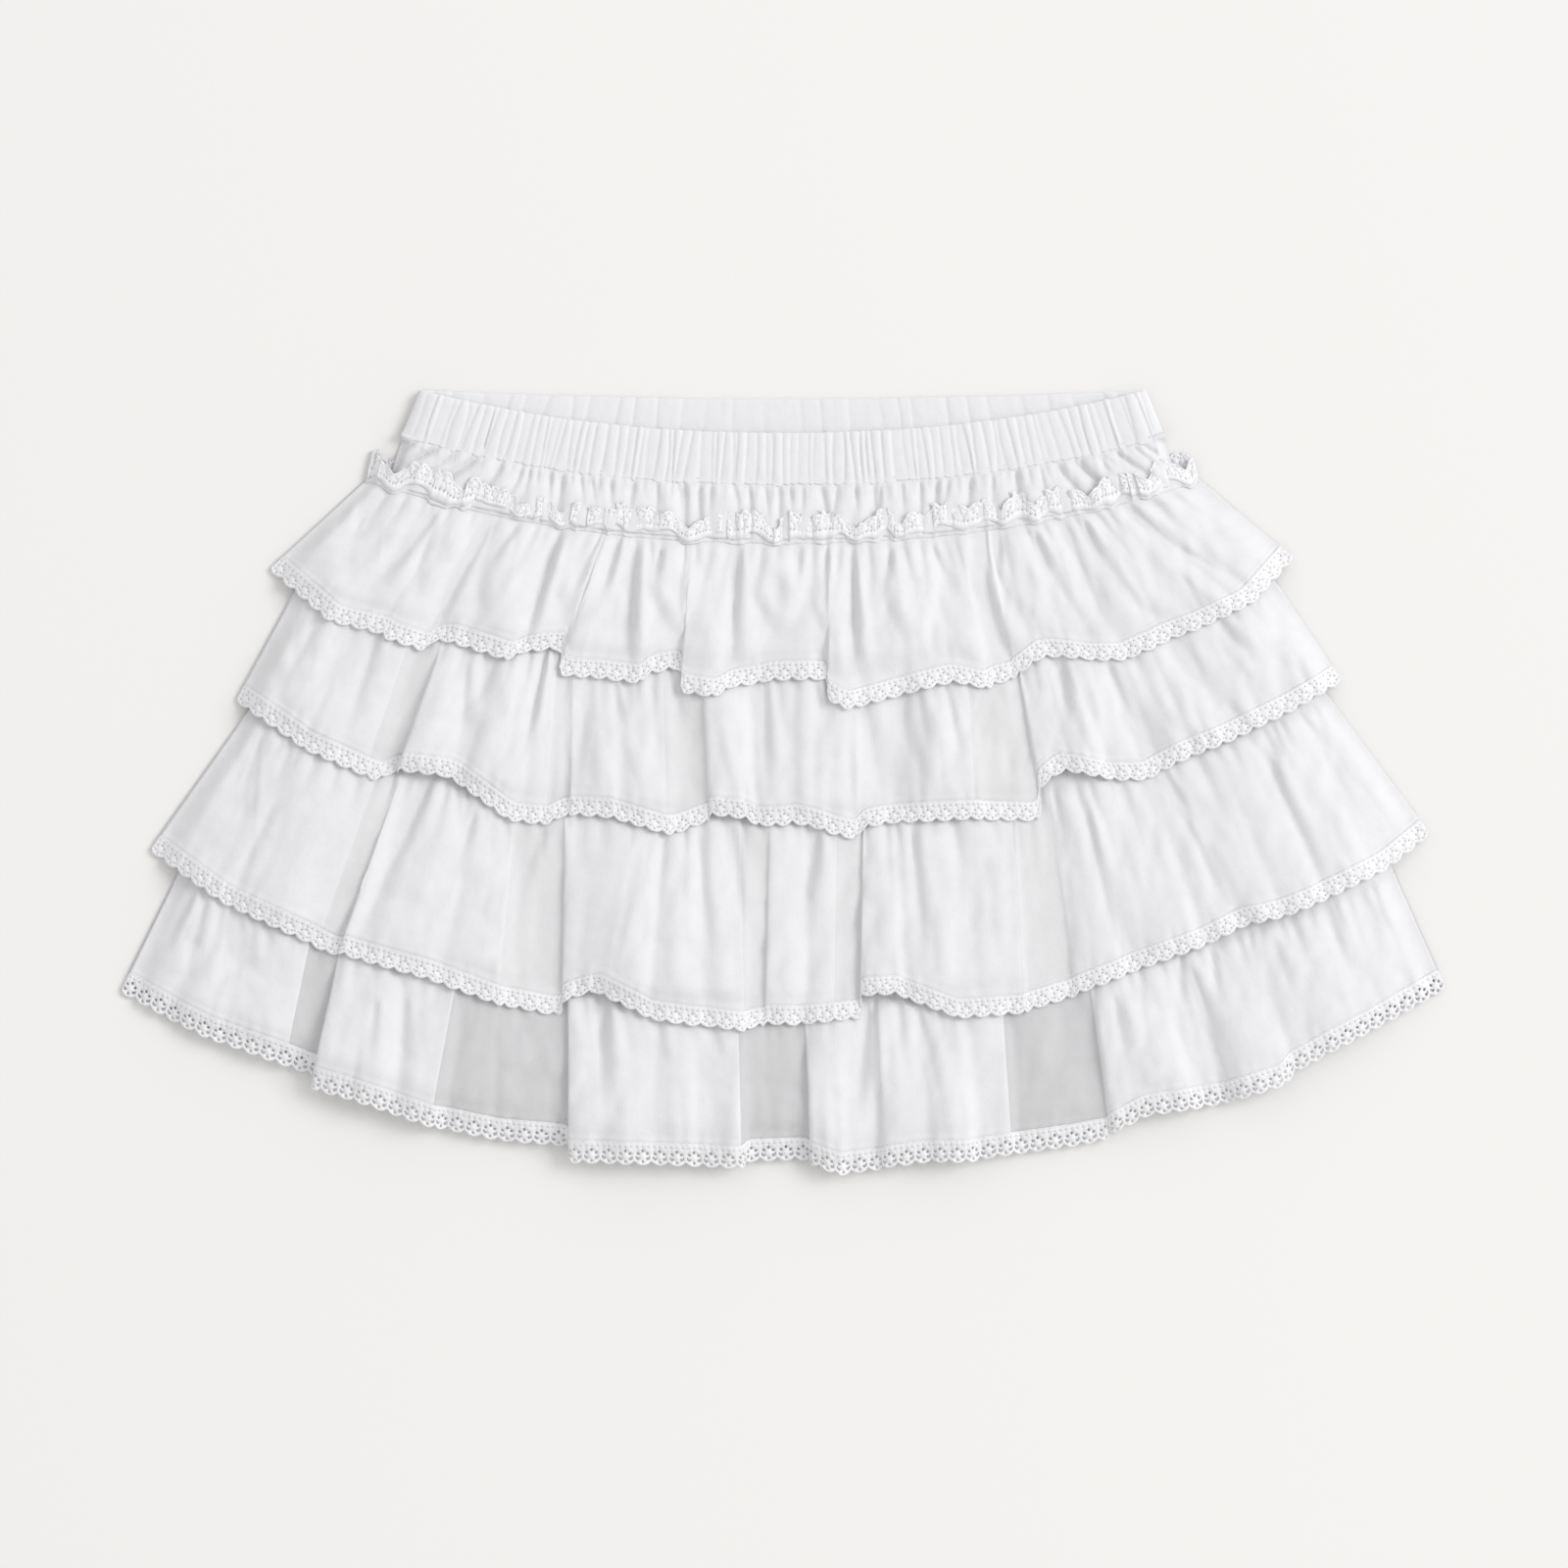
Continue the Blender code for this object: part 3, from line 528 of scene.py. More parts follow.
# x0, y0, lift0, x1, y1, lift1 and crown of the folds of each front ruffle's hem
FOLDS = each(Fold, {
    1: (
        (-237.2, 98.3, 0.0, -208.8, 74.0, 3.0, 1.0), (-204.3, 72.7, 1.5, -186.3, 68.2, 1.5, 0.0),
        (-181.8, 65.5, 4.5, -165.2, 60.1, 6.0, 1.0), (-161.6, 63.7, 1.0, -157.1, 64.6, 1.5, 0.0),
        (-151.7, 63.7, 4.0, -126.5, 55.6, 6.5, 1.5), (-120.2, 59.2, 1.0, -104.9, 61.0, 0.5, 0.0),
        (-101.7, 48.8, 6.5, -92.2, 47.9, 6.5, 1.0), (-88.2, 47.9, 4.5, -66.2, 45.2, 5.5, 2.0),
        (-60.8, 49.7, 1.0, -50.0, 52.0, 0.5, 0.0), (-45.9, 40.7, 7.0, -31.1, 38.9, 7.5, 1.5),
        (-23.9, 43.4, 3.0, -10.8, 45.2, 4.5, 0.5), (-6.3, 46.6, 3.0, 17.6, 47.0, 1.5, 1.5),
        (21.2, 37.1, 6.5, 29.2, 33.1, 7.0, 1.0), (34.6, 34.4, 5.5, 71.5, 44.3, 6.5, 3.5),
        (78.8, 45.7, 4.0, 94.0, 42.5, 7.0, 1.0), (96.8, 44.8, 0.5, 104.0, 46.6, 0.5, 0.0),
        (107.5, 48.8, 5.0, 118.4, 56.9, 5.0, 1.5), (124.2, 57.4, 2.0, 137.7, 56.5, 3.0, 2.0),
        (143.6, 55.6, 2.0, 158.0, 56.0, 3.0, 3.0), (162.5, 58.3, 2.5, 172.3, 62.3, 3.0, 2.0),
        (176.8, 65.0, 2.0, 190.3, 70.0, 2.5, 2.5), (195.3, 72.2, 2.0, 212.0, 80.3, 2.5, 2.5),
        (216.5, 82.6, 1.5, 235.8, 103.7, 0.0, 1.5),
    ),
    2: (
        (-252.5, 37.6, 0.0, -224.6, 18.7, 2.5, 1.5), (-220.1, 15.1, 1.0, -192.2, 2.9, 4.0, 2.0),
        (-186.8, 0.7, 0.5, -178.7, 4.3, 0.0, 0.0), (-176.4, 5.2, 6.0, -154.8, 2.5, 6.0, 1.0),
        (-150.3, 0.2, 4.5, -125.5, -17.8, 6.5, 2.0), (-121.0, -18.2, 3.5, -109.4, -19.6, 3.0, 1.5),
        (-106.7, -18.7, 0.5, -100.4, -15.5, 0.5, 0.0), (-96.8, -15.1, 5.0, -78.3, -16.4, 5.5, 1.0),
        (-74.2, -17.8, 4.0, -52.6, -24.1, 6.5, 2.0), (-48.1, -23.2, 1.0, -36.5, -18.7, 0.5, 0.0),
        (-32.9, -15.1, 6.0, -16.7, -16.9, 7.0, 1.5), (-12.2, -20.0, 3.5, 0.5, -20.0, 4.0, 1.5),
        (4.0, -18.7, 3.0, 17.6, -21.8, 4.0, 2.0), (21.6, -23.6, 2.5, 32.9, -26.3, 3.5, 1.5),
        (37.4, -20.9, 2.5, 47.7, -19.1, 3.0, 1.0), (52.2, -18.7, 2.5, 88.7, -16.9, 5.5, 2.5),
        (93.2, -17.3, 0.5, 115.7, -17.8, 0.0, 0.0), (119.2, -1.6, 5.5, 125.5, 3.4, 5.0, 0.5),
        (129.2, 5.2, 3.5, 146.7, 2.0, 5.0, 2.0), (152.6, 0.7, 2.0, 167.8, 1.1, 3.5, 2.5),
        (172.8, 4.3, 1.5, 185.0, 10.6, 3.0, 1.5), (189.5, 12.4, 2.0, 205.2, 18.7, 3.0, 2.0),
        (209.7, 20.9, 2.0, 230.0, 30.8, 2.5, 2.0), (234.5, 33.1, 1.5, 257.9, 46.6, 0.0, 1.5),
    ),
    3: (
        (-292.1, -31.3, 0.0, -259.7, -53.8, 3.5, 1.5), (-255.2, -56.5, 2.5, -229.1, -68.6, 5.0, 2.0),
        (-222.8, -71.3, 3.0, -214.7, -75.4, 1.5, 0.0), (-210.2, -78.1, 0.0, -205.7, -79.0, 0.0, 0.0),
        (-203.4, -78.5, 6.5, -196.7, -80.8, 5.5, 0.0), (-192.2, -82.1, 5.5, -161.6, -90.7, 8.0, 1.5),
        (-157.1, -92.5, 6.5, -131.0, -101.9, 7.5, 1.5), (-126.5, -102.8, 1.5, -114.3, -105.1, 1.5, 1.0),
        (-110.7, -106.0, 0.5, -103.5, -106.9, 0.0, 0.0), (-100.8, -100.6, 5.0, -90.5, -97.0, 5.5, 0.0),
        (-86.0, -96.1, 7.0, -64.8, -106.4, 8.0, 1.5), (-60.8, -108.7, 6.0, -41.9, -111.4, 7.5, 1.5),
        (-34.6, -111.8, 5.5, -24.3, -113.2, 7.5, 0.5), (-21.2, -113.6, 6.0, -17.6, -114.1, 6.0, 0.0),
        (-15.3, -112.7, 0.0, -10.3, -111.8, 0.0, 0.0), (-8.1, -110.9, 4.5, 5.9, -111.4, 5.0, 1.0),
        (10.3, -110.9, 2.5, 22.9, -109.6, 3.5, 1.5), (26.6, -109.1, 1.5, 33.8, -108.7, 0.5, 0.0),
        (36.0, -97.9, 6.0, 52.2, -97.0, 7.5, 1.0), (56.2, -99.2, 5.0, 80.5, -108.2, 7.5, 1.5),
        (85.0, -107.8, 5.0, 110.7, -106.0, 6.5, 1.0), (113.0, -104.6, 0.5, 131.0, -99.2, 0.5, 1.0),
        (135.5, -97.0, 3.5, 154.3, -89.8, 5.5, 1.5), (160.2, -87.1, 2.5, 190.3, -76.3, 4.0, 2.0),
        (194.8, -74.5, 2.0, 208.3, -67.7, 4.0, 1.5), (212.8, -65.5, 2.0, 225.5, -62.8, 4.0, 1.5),
        (230.0, -61.9, 2.0, 245.7, -55.6, 4.0, 1.5), (250.2, -53.3, 2.0, 272.7, -42.5, 3.0, 2.0),
        (277.2, -40.3, 1.5, 298.4, -24.1, 0.0, 1.0),
    ),
    4: (
        (-305.6, -96.5, 0.0, -285.3, -107.3, 2.5, 1.0), (-280.8, -110.0, 1.5, -262.8, -118.6, 3.5, 1.5),
        (-256.9, -120.4, 2.0, -229.1, -130.3, 2.5, 1.5), (-224.6, -132.1, 0.5, -218.2, -134.3, 0.0, 0.0),
        (-216.0, -141.1, 6.5, -203.0, -144.7, 7.0, 0.5), (-199.3, -145.6, 7.0, -183.2, -151.0, 8.0, 1.0),
        (-178.7, -152.8, 6.0, -161.6, -158.6, 7.5, 1.0), (-156.2, -159.5, 1.5, -134.6, -164.0, 1.5, 1.5),
        (-130.1, -164.9, 1.0, -100.8, -167.2, 0.0, 0.5), (-97.7, -174.8, 6.0, -81.5, -174.8, 6.0, 0.5),
        (-77.0, -175.3, 7.5, -62.6, -175.3, 8.0, 1.0), (-58.1, -175.7, 6.5, -42.3, -176.2, 7.5, 1.0),
        (-37.8, -176.6, 6.0, -18.9, -177.5, 7.5, 1.0), (-15.8, -174.4, 0.0, 9.9, -173.5, 0.0, 0.5),
        (13.1, -175.7, 5.0, 26.6, -180.7, 6.0, 0.5), (31.1, -179.8, 3.5, 41.9, -178.4, 2.5, 0.0),
        (47.2, -177.1, 6.5, 63.5, -174.8, 6.5, 1.0), (68.0, -174.4, 5.5, 86.0, -174.4, 7.5, 1.5),
        (90.5, -173.5, 3.5, 104.9, -171.2, 3.0, 0.5), (109.4, -170.8, 0.0, 128.7, -168.1, 0.5, 0.5),
        (132.8, -167.6, 1.0, 147.2, -164.9, 0.0, 0.5), (151.7, -161.8, 4.0, 162.5, -155.9, 3.5, 0.5),
        (167.8, -153.2, 5.0, 187.2, -150.5, 6.0, 1.5), (193.1, -149.6, 2.5, 203.0, -147.8, 1.5, 0.0),
        (209.2, -146.0, 5.0, 230.8, -139.3, 5.5, 1.5), (235.3, -133.4, 3.0, 245.7, -128.0, 2.5, 0.5),
        (250.7, -124.9, 3.5, 268.2, -115.9, 3.0, 1.5), (272.7, -113.6, 2.0, 305.6, -95.2, 0.0, 2.0),
    ),
})

# how each ruffle fans out: where on the hem a thread ends, and where on the gather line it starts
FAN: dict[int, Table] = {
    1: ((-237.2, -192.6), (-167.4, -141.8), (-122.0, -101.2), (-98.5, -77.0), (-69.3, -65.7),
        (-25.2, -18.9), (31.9, 31.1), (86.0, 70.2), (104.0, 91.8), (180.5, 140.8),
        (218.7, 164.7), (235.8, 193.1)),
    2: ((-252.5, -223.7), (-177.3, -154.3), (-123.3, -108.5), (-104.0, -101.2), (-42.3, -45.9),
        (-6.3, -9.0), (19.8, 19.8), (50.0, 48.6), (90.5, 86.0), (119.2, 106.7),
        (173.7, 149.0), (203.0, 174.6), (257.9, 227.7)),
    3: ((-292.1, -247.1), (-247.1, -214.7), (-203.8, -174.2), (-157.1, -139.1), (-130.1, -121.5),
        (-101.7, -99.9), (-86.0, -69.3), (-34.6, -38.7), (-18.9, -21.2), (-9.0, -6.3),
        (35.1, 36.5), (65.7, 59.0), (111.6, 105.8), (154.3, 137.2), (209.7, 176.0),
        (248.8, 216.5), (298.4, 251.1)),
    4: ((-305.6, -279.4), (-251.6, -241.7), (-218.2, -203.8), (-188.6, -178.7), (-161.6, -148.1),
        (-130.1, -126.5), (-98.5, -98.5), (-42.3, -44.6), (-17.1, -18.9), (10.8, 8.6),
        (47.7, 45.5), (86.9, 79.2), (106.7, 101.7), (148.1, 138.6), (203.0, 180.5),
        (265.9, 245.7), (305.6, 281.2)),
}

# x0, y0, x1, y1, depth and width of the long soft valleys of each front ruffle
CREASES = each(Crease, {
    1: (
        (-198.5, 133.0, -206.6, 116.3, 1.8, 2.4), (-159.3, 123.1, -190.8, 87.1, 2.0, 2.6),
        (-135.5, 118.6, -166.1, 62.0, 3.6, 2.8), (-122.4, 117.2, -134.6, 100.6, 1.6, 1.8),
        (-102.2, 115.0, -121.0, 57.0, 3.4, 2.2), (-75.2, 111.8, -84.2, 83.9, 1.6, 1.8),
        (-67.5, 109.1, -71.8, 46.0, 3.4, 2.4), (-55.4, 106.4, -59.0, 92.9, 1.4, 1.6),
        (-21.2, 109.1, -23.9, 50.0, 3.4, 2.8), (32.0, 109.1, 33.3, 42.0, 3.2, 2.2),
        (91.8, 117.2, 91.4, 85.0, 3.0, 2.0), (91.4, 94.0, 104.0, 42.0, 3.2, 3.4),
        (98.1, 117.2, 99.5, 99.2, 1.8, 1.3), (116.1, 114.1, 122.9, 92.9, 1.6, 2.2),
        (128.7, 118.6, 151.2, 62.0, 2.2, 4.0), (138.6, 119.5, 146.7, 100.6, 1.6, 1.8),
        (158.0, 125.3, 187.2, 102.8, 2.0, 3.4), (182.7, 107.3, 209.7, 90.7, 2.0, 4.0),
        (167.9, 130.7, 178.2, 120.8, 1.4, 2.0), (209.7, 123.1, 216.5, 107.3, 1.2, 3.0),
        (184.0, 93.8, 193.0, 78.1, 1.2, 2.5), (8.5, 108.0, 6.0, 90.0, 1.4, 1.4),
        (20.5, 106.0, 19.0, 90.0, 1.3, 1.4), (50.0, 106.0, 46.0, 88.0, 1.3, 1.6),
        (68.5, 108.0, 79.0, 85.0, 1.5, 1.8),
    ),
    2: (
        (-186.3, 66.8, -202.0, 17.3, 1.4, 4.0), (-144.5, 53.3, -148.0, 17.3, 0.9, 2.6),
        (-108.5, 60.0, -118.4, 12.8, 1.8, 1.5), (-89.5, 44.3, -94.0, -0.7, 1.0, 3.0),
        (-77.0, 46.5, -75.2, 26.3, 1.4, 1.8), (-60.0, 44.3, -57.0, 0.0, 0.8, 3.4),
        (-8.6, 50.0, -7.2, -14.0, 1.7, 2.6), (16.2, 44.3, 17.6, 32.0, 1.2, 1.6),
        (38.0, 36.0, 45.5, -14.0, 1.2, 5.0), (62.0, 44.3, 68.0, 0.0, 0.9, 3.0),
        (74.0, 48.8, 81.0, 12.8, 1.2, 1.6), (127.8, 57.8, 131.0, 17.0, 1.5, 3.2),
        (149.0, 55.0, 167.0, 8.0, 1.6, 4.4), (180.5, 66.6, 198.0, 36.0, 1.3, 2.8),
        (200.7, 73.3, 214.6, 55.5, 1.3, 3.2), (205.2, 35.3, 216.5, 17.3, 1.1, 3.0),
        (236.7, 66.8, 239.0, 44.3, 0.9, 3.0),
    ),
    3: (
        (-161.6, 1.6, -195.3, -72.7, 1.3, 3.0), (-141.3, -14.2, -151.7, -45.7, 1.0, 2.4),
        (-109.8, -23.2, -121.0, -45.7, 1.0, 2.4), (-38.7, -23.2, -33.3, -83.9, 1.2, 2.6),
        (-22.9, -18.7, -17.6, -72.7, 1.2, 2.4), (16.2, -23.2, 7.2, -68.2, 1.2, 2.8),
        (59.4, -20.9, 65.7, -86.2, 1.3, 2.8), (140.0, -14.2, 153.5, -81.7, 1.3, 2.6),
        (176.0, 1.6, 208.3, -68.2, 1.4, 3.0), (221.0, 12.8, 248.0, -50.2, 1.3, 3.0),
    ),
    4: (
        (-269.5, -48.0, -285.3, -79.4, 1.3, 1.6), (-249.0, -56.0, -254.0, -82.0, 1.5, 4.0),
        (-186.0, -100.0, -190.0, -132.0, 0.9, 2.0), (-173.0, -98.0, -176.0, -140.0, 0.9, 2.6),
        (-81.5, -100.0, -84.2, -149.4, 1.5, 3.2), (-56.0, -106.0, -58.0, -140.0, 0.8, 2.4),
        (-33.0, -106.0, -28.0, -130.0, 0.9, 2.2), (39.0, -105.0, 34.0, -154.0, 1.8, 3.2),
        (63.0, -106.0, 71.0, -140.0, 0.9, 2.4), (152.0, -98.0, 156.0, -125.0, 1.1, 2.6),
        (197.0, -75.0, 199.8, -104.0, 1.8, 2.2), (187.0, -86.0, 207.5, -135.7, 1.1, 5.0),
        (225.0, -72.0, 236.0, -104.0, 0.7, 2.6), (247.0, -56.0, 264.0, -97.0, 1.5, 6.0),
        (262.0, -50.0, 275.0, -68.0, 0.9, 2.4),
    ),
})

# x, y, half_wide, half_tall, height and lean of the drop-shaped puffs of the first two ruffles
PUFFS = each(Puff, {
    1: (
        (-2.5, 88.0, 13.0, 20.0, 2.7, 2.0), (59.5, 86.0, 14.0, 24.0, 2.8, 1.0),
        (-50.0, 89.0, 12.5, 21.0, 2.3, 3.0), (-94.0, 97.0, 13.0, 22.0, 1.5, -3.0),
        (-128.0, 95.0, 11.0, 24.0, 1.4, -8.0), (-156.0, 103.0, 10.0, 20.0, 1.2, -8.0),
        (-186.0, 108.0, 13.0, 17.0, 1.2, -9.0), (111.0, 92.0, 11.0, 22.0, 1.6, 5.0),
        (135.0, 93.0, 9.0, 22.0, 1.4, 6.0), (160.0, 97.0, 9.0, 20.0, 1.3, 9.0),
        (192.0, 107.0, 11.0, 18.0, 1.2, 9.0), (20.0, 84.0, 8.0, 16.0, 1.2, 0.0),
    ),
    2: (
        (-220.0, 55.0, 14.0, 20.0, 1.2, -5.0), (-133.0, 40.0, 14.0, 24.0, 1.2, -2.0),
        (-66.0, 25.0, 10.0, 24.0, 1.2, 0.0), (-22.0, 20.0, 8.0, 26.0, 1.3, 2.0),
        (68.0, 22.0, 12.0, 26.0, 1.3, 4.0), (140.0, 35.0, 9.0, 24.0, 1.2, 4.0),
        (178.0, 42.0, 10.0, 24.0, 1.1, 8.0), (216.0, 58.0, 11.0, 20.0, 1.1, 8.0),
    ),
    3: (),
    4: (),
})

# where loops of the frill fall over the first ruffle
DROOPS = (-179.6, -151.2, -122.0, -102.6, -44.0, -5.0, 33.8, 54.9, 101.0, 117.0, 143.0, 168.0, 187.0)

# half widths of the panel under the ruffles and of the shorts against y
BASE_HALF: Table = (
    (-103.0, 267.0), (-42.0, 266.0), (35.0, 235.0), (91.0, 210.0), (139.0, 179.0), (159.0, 175.5),
)
SHORTS_HALF: Table = ((-150.0, 230.0), (-121.0, 225.0), (157.0, 160.0))
SHORTS_HEM = (-148.5, 36.0)           # y of the hem in the middle, and how much higher it is at the sides
SHORTS_TOP, SHORTS_LOW = 157.0, -121.0    # y where the half width of the top and of the hem is read
SEAM_LEVEL = 131.0                    # the same for the first gather line
HIP_LEVEL = 10.0                      # and for the hips, a little over half way to the crotch
CROTCH_Y = -95.0
CROTCH_HALF = 2.5

# heights at which the layers are sewn into the waistband, and of the waistband's own underside
SHORTS_SEAM = {Side.BACK: 1.0, Side.FRONT: 5.6}
YOKE_SEAM = {Side.BACK: 0.8, Side.FRONT: 5.95}
BAND_SEAM = {Side.BACK: 0.7, Side.FRONT: 5.7}
BAND_FLOOR = {Side.BACK: 0.0, Side.FRONT: 3.5}


# ---- how high each hidden layer lies ---------------------------------------------
def below_yoke(x: Array, y: Array) -> Array:
    """0 at the first gather line, 1 a little below it."""
    return smooth((PLANS[1].seam_y(x) - y) / YOKE_DROP)


def near_band(x: Array, y: Array) -> Array:
    """1 at the waistband, 0 where the first ruffle's heading starts."""
    return smooth((y - PLANS[1].seam_y(x) - HEADING - 1.0) / 9.0)


def back_panel_low(x: Array, y: Array) -> Array:
    """Underside of the back yoke and base."""
    return mix(YOKE_BACK, BASE_BACK, below_yoke(x, y)) * (1.0 - near_band(x, y))


def shorts_face(side: Side, x: Array, y: Array) -> Array:
    """Outer face of the shorts' back or front."""
    layers, wall = (1, 0.0) if side is Side.BACK else (2, WALL)
    return back_panel_low(x, y) + LAYER * layers + BAND_ROOM * near_band(x, y) + wall


def front_panel_low(x: Array, y: Array) -> Array:
    """Underside of the front yoke and base."""
    edge = table(BASE_HALF, y)
    inner = table(SHORTS_HALF, y) + 2.0
    over_shorts = smooth((edge - np.abs(x)) / np.maximum(edge - inner, 2.0))
    return back_panel_low(x, y) + mix(LAYER, 3.0 * LAYER, over_shorts) + BAND_ROOM * near_band(x, y)


def panel_face(side: Side, x: Array, y: Array) -> Array:
    """Outer face of the yoke and base of a side."""
    return back_panel_low(x, y) if side is Side.BACK else front_panel_low(x, y) + WALL


def ruffle_low(number: int, x: Array, y: Array, t: Array) -> Array:
    """Underside of a front ruffle where only the panel under it and its own sides hold it.

    Args:
        number: Which ruffle, from 1 at the top.
        x: Place across, mm.
        y: Place up, mm.
        t: Share of the way from its gather line to its hem.

    Returns:
        Heights, mm.
    """
    plan = PLANS[number]
    left = mix(plan.seam_left, plan.hem_left, t)
    right = mix(plan.seam_right, plan.hem_right, t)
    inset = np.minimum(x - left, right - x)
    edge = LAYER
    if number > 1:
        edge = edge + LAYER * (1.0 - smooth((t - 0.2) / 0.3))
    full = BASE_BACK + 4.0 * LAYER
    if number == 1:
        full = mix(YOKE_BACK + 4.0 * LAYER + 0.6, full, below_yoke(x, y))
    if number == 4:
        full = full - smooth(t / 0.5) - HEM_FALL * smooth((t - 0.72) / 0.28)
    # it is low at its sides and reaches its full height 30 mm inside them at the head, 65 mm at the hem
    rise = np.clip(inset / (30.0 + 35.0 * t), 0.0, 1.0)
    low = edge + (full - edge) * (1.0 - (1.0 - rise) ** 2)
    if number < 4:
        panel = front_panel_low(x, y) + LAYER + 0.5 * (1.0 - below_yoke(x, y))
        past = np.clip((np.abs(x) - table(BASE_HALF, y) - 1.0) / 6.0, 0.0, 1.0)
        low = np.maximum(low, mix(panel, 0.0, past))
    return low


# ---- finishes --------------------------------------------------------------------
def linear(code: str) -> tuple[float, float, float, float]:
    """Turn an sRGB hex colour to linear.

    Args:
        code: Six hex digits.

    Returns:
        Red, green, blue and an alpha of 1.
    """
    parts = [int(code[i:i + 2], 16) / 255.0 for i in (0, 2, 4)]
    return (*[p / 12.92 if p <= 0.04045 else ((p + 0.055) / 1.055) ** 2.4 for p in parts], 1.0)


def add_node(tree: bpy.types.NodeTree, kind: str, settings: dict | None = None,
             sockets: dict | None = None, links: dict | None = None) -> bpy.types.Node:
    """Add a node.

    Args:
        tree: The tree that it goes in.
        kind: The node's type.
        settings: Its properties by name.
        sockets: Values of its inputs, by name or number.
        links: The output that feeds each input, by name or number.

    Returns:
        The node.
    """
    node = tree.nodes.new(kind)
    for name, value in (settings or {}).items():
        setattr(node, name, value)
    for name, value in (sockets or {}).items():
        node.inputs[name].default_value = value
    for name, output in (links or {}).items():
        tree.links.new(output, node.inputs[name])
    return node


def bare_material(name: str) -> tuple[bpy.types.Material, bpy.types.NodeTree]:
    """A new material and its tree, without nodes."""
    made = bpy.data.materials.new(name)
    made.use_nodes = True
    made.node_tree.nodes.clear()
    return made, made.node_tree


def per_metre(size: float) -> float:
    """The scale of a pattern whose lumps have a size in mm, on coordinates in metres."""
    return 1.0 / (size * MM)


@dataclass(frozen=True)
class WovenCotton:
    """Plain-woven cotton, washed and not pressed: matt, with slubs in both thread directions.

    Voile threads are spun fine and set apart, so the cloth is half sheer where one layer lies
    alone; batiste is closer and hides what lies under it. The greyer copies of the voile are painted shade.
    """

    name: str
    light: str
    shade: str
    cover: float              # share of each face of the shell that is thread
    slub: float = 0.9         # width of a slub, mm; real ones are 0.3, too fine to show
    slub_run: float = 14.0    # length of a slub, mm
    crumple: float = 7.0      # size of the small crumples that washing leaves, mm
    weave: float = 0.12       # height of the slubs, as a share of the crumples'
    relief: float = 0.9       # height of the crumples, mm
    roughness: float = 0.86   # loose fibres scatter the light: no shine
    ior: float = 1.53         # cellulose

    def make(self) -> bpy.types.Material:
        """Build the material, on UV coordinates in metres of flat cloth."""
        made, tree = bare_material(self.name)
        flat = add_node(tree, "ShaderNodeUVMap", {"uv_map": "flat"}).outputs["UV"]
        threads = []
        for across, down in ((self.slub, self.slub_run), (self.slub_run, self.slub)):
            stretched = add_node(tree, "ShaderNodeMapping", sockets={
                "Scale": (per_metre(across), per_metre(down), 1.0)}, links={"Vector": flat})
            threads.append(add_node(tree, "ShaderNodeTexNoise", sockets={
                "Scale": 1.0, "Detail": 2.0, "Roughness": 0.5}, links={"Vector": stretched.outputs[0]}))
        woven = add_node(tree, "ShaderNodeMath", {"operation": "ADD"}, links={
            0: threads[0].outputs[0], 1: threads[1].outputs[0]})
        crumples = add_node(tree, "ShaderNodeTexNoise", sockets={
            "Scale": per_metre(self.crumple), "Detail": 3.0, "Roughness": 0.55}, links={"Vector": flat})
        height = add_node(tree, "ShaderNodeMath", {"operation": "MULTIPLY_ADD"}, {1: self.weave}, {
            0: woven.outputs[0], 2: crumples.outputs[0]})
        bump = add_node(tree, "ShaderNodeBump", sockets={"Strength": 0.35, "Distance": self.relief * MM},
                        links={"Height": height.outputs[0]})
        tone = add_node(tree, "ShaderNodeMix", {"data_type": "RGBA"}, {
            6: linear(self.light), 7: linear(self.shade)}, {0: crumples.outputs[0]})
        shader = add_node(tree, "ShaderNodeBsdfPrincipled", sockets={
            "Roughness": self.roughness, "IOR": self.ior, "Specular IOR Level": 0.35,
            "Sheen Weight": 0.12, "Sheen Roughness": 0.5, "Alpha": self.cover}, links={
            "Base Color": tone.outputs[2], "Normal": bump.outputs[0]})
        add_node(tree, "ShaderNodeOutputMaterial", links={"Surface": shader.outputs[0]})
        return made


@dataclass(frozen=True)
class CottonThread:
    """Mercerised cotton thread, knotted into lace or sewn: opaque, a little brighter than the cloth."""

    name: str
    colour: str
    twist: float = 0.8        # pitch of the twist, mm; a real one is 0.2, too fine to show
    roughness: float = 0.7
    ior: float = 1.53

    def make(self) -> bpy.types.Material:
        """Build the material, on object coordinates."""
        made, tree = bare_material(self.name)
        place = add_node(tree, "ShaderNodeTexCoord").outputs["Object"]
        fibres = add_node(tree, "ShaderNodeTexNoise", sockets={
            "Scale": per_metre(self.twist), "Detail": 2.0}, links={"Vector": place})
        bump = add_node(tree, "ShaderNodeBump", sockets={"Strength": 0.4, "Distance": 0.2 * MM},
                        links={"Height": fibres.outputs[0]})
        shader = add_node(tree, "ShaderNodeBsdfPrincipled", sockets={
            "Base Color": linear(self.colour), "Roughness": self.roughness, "IOR": self.ior,
            "Specular IOR Level": 0.4, "Sheen Weight": 0.1}, links={"Normal": bump.outputs[0]})
        add_node(tree, "ShaderNodeOutputMaterial", links={"Surface": shader.outputs[0]})
        return made


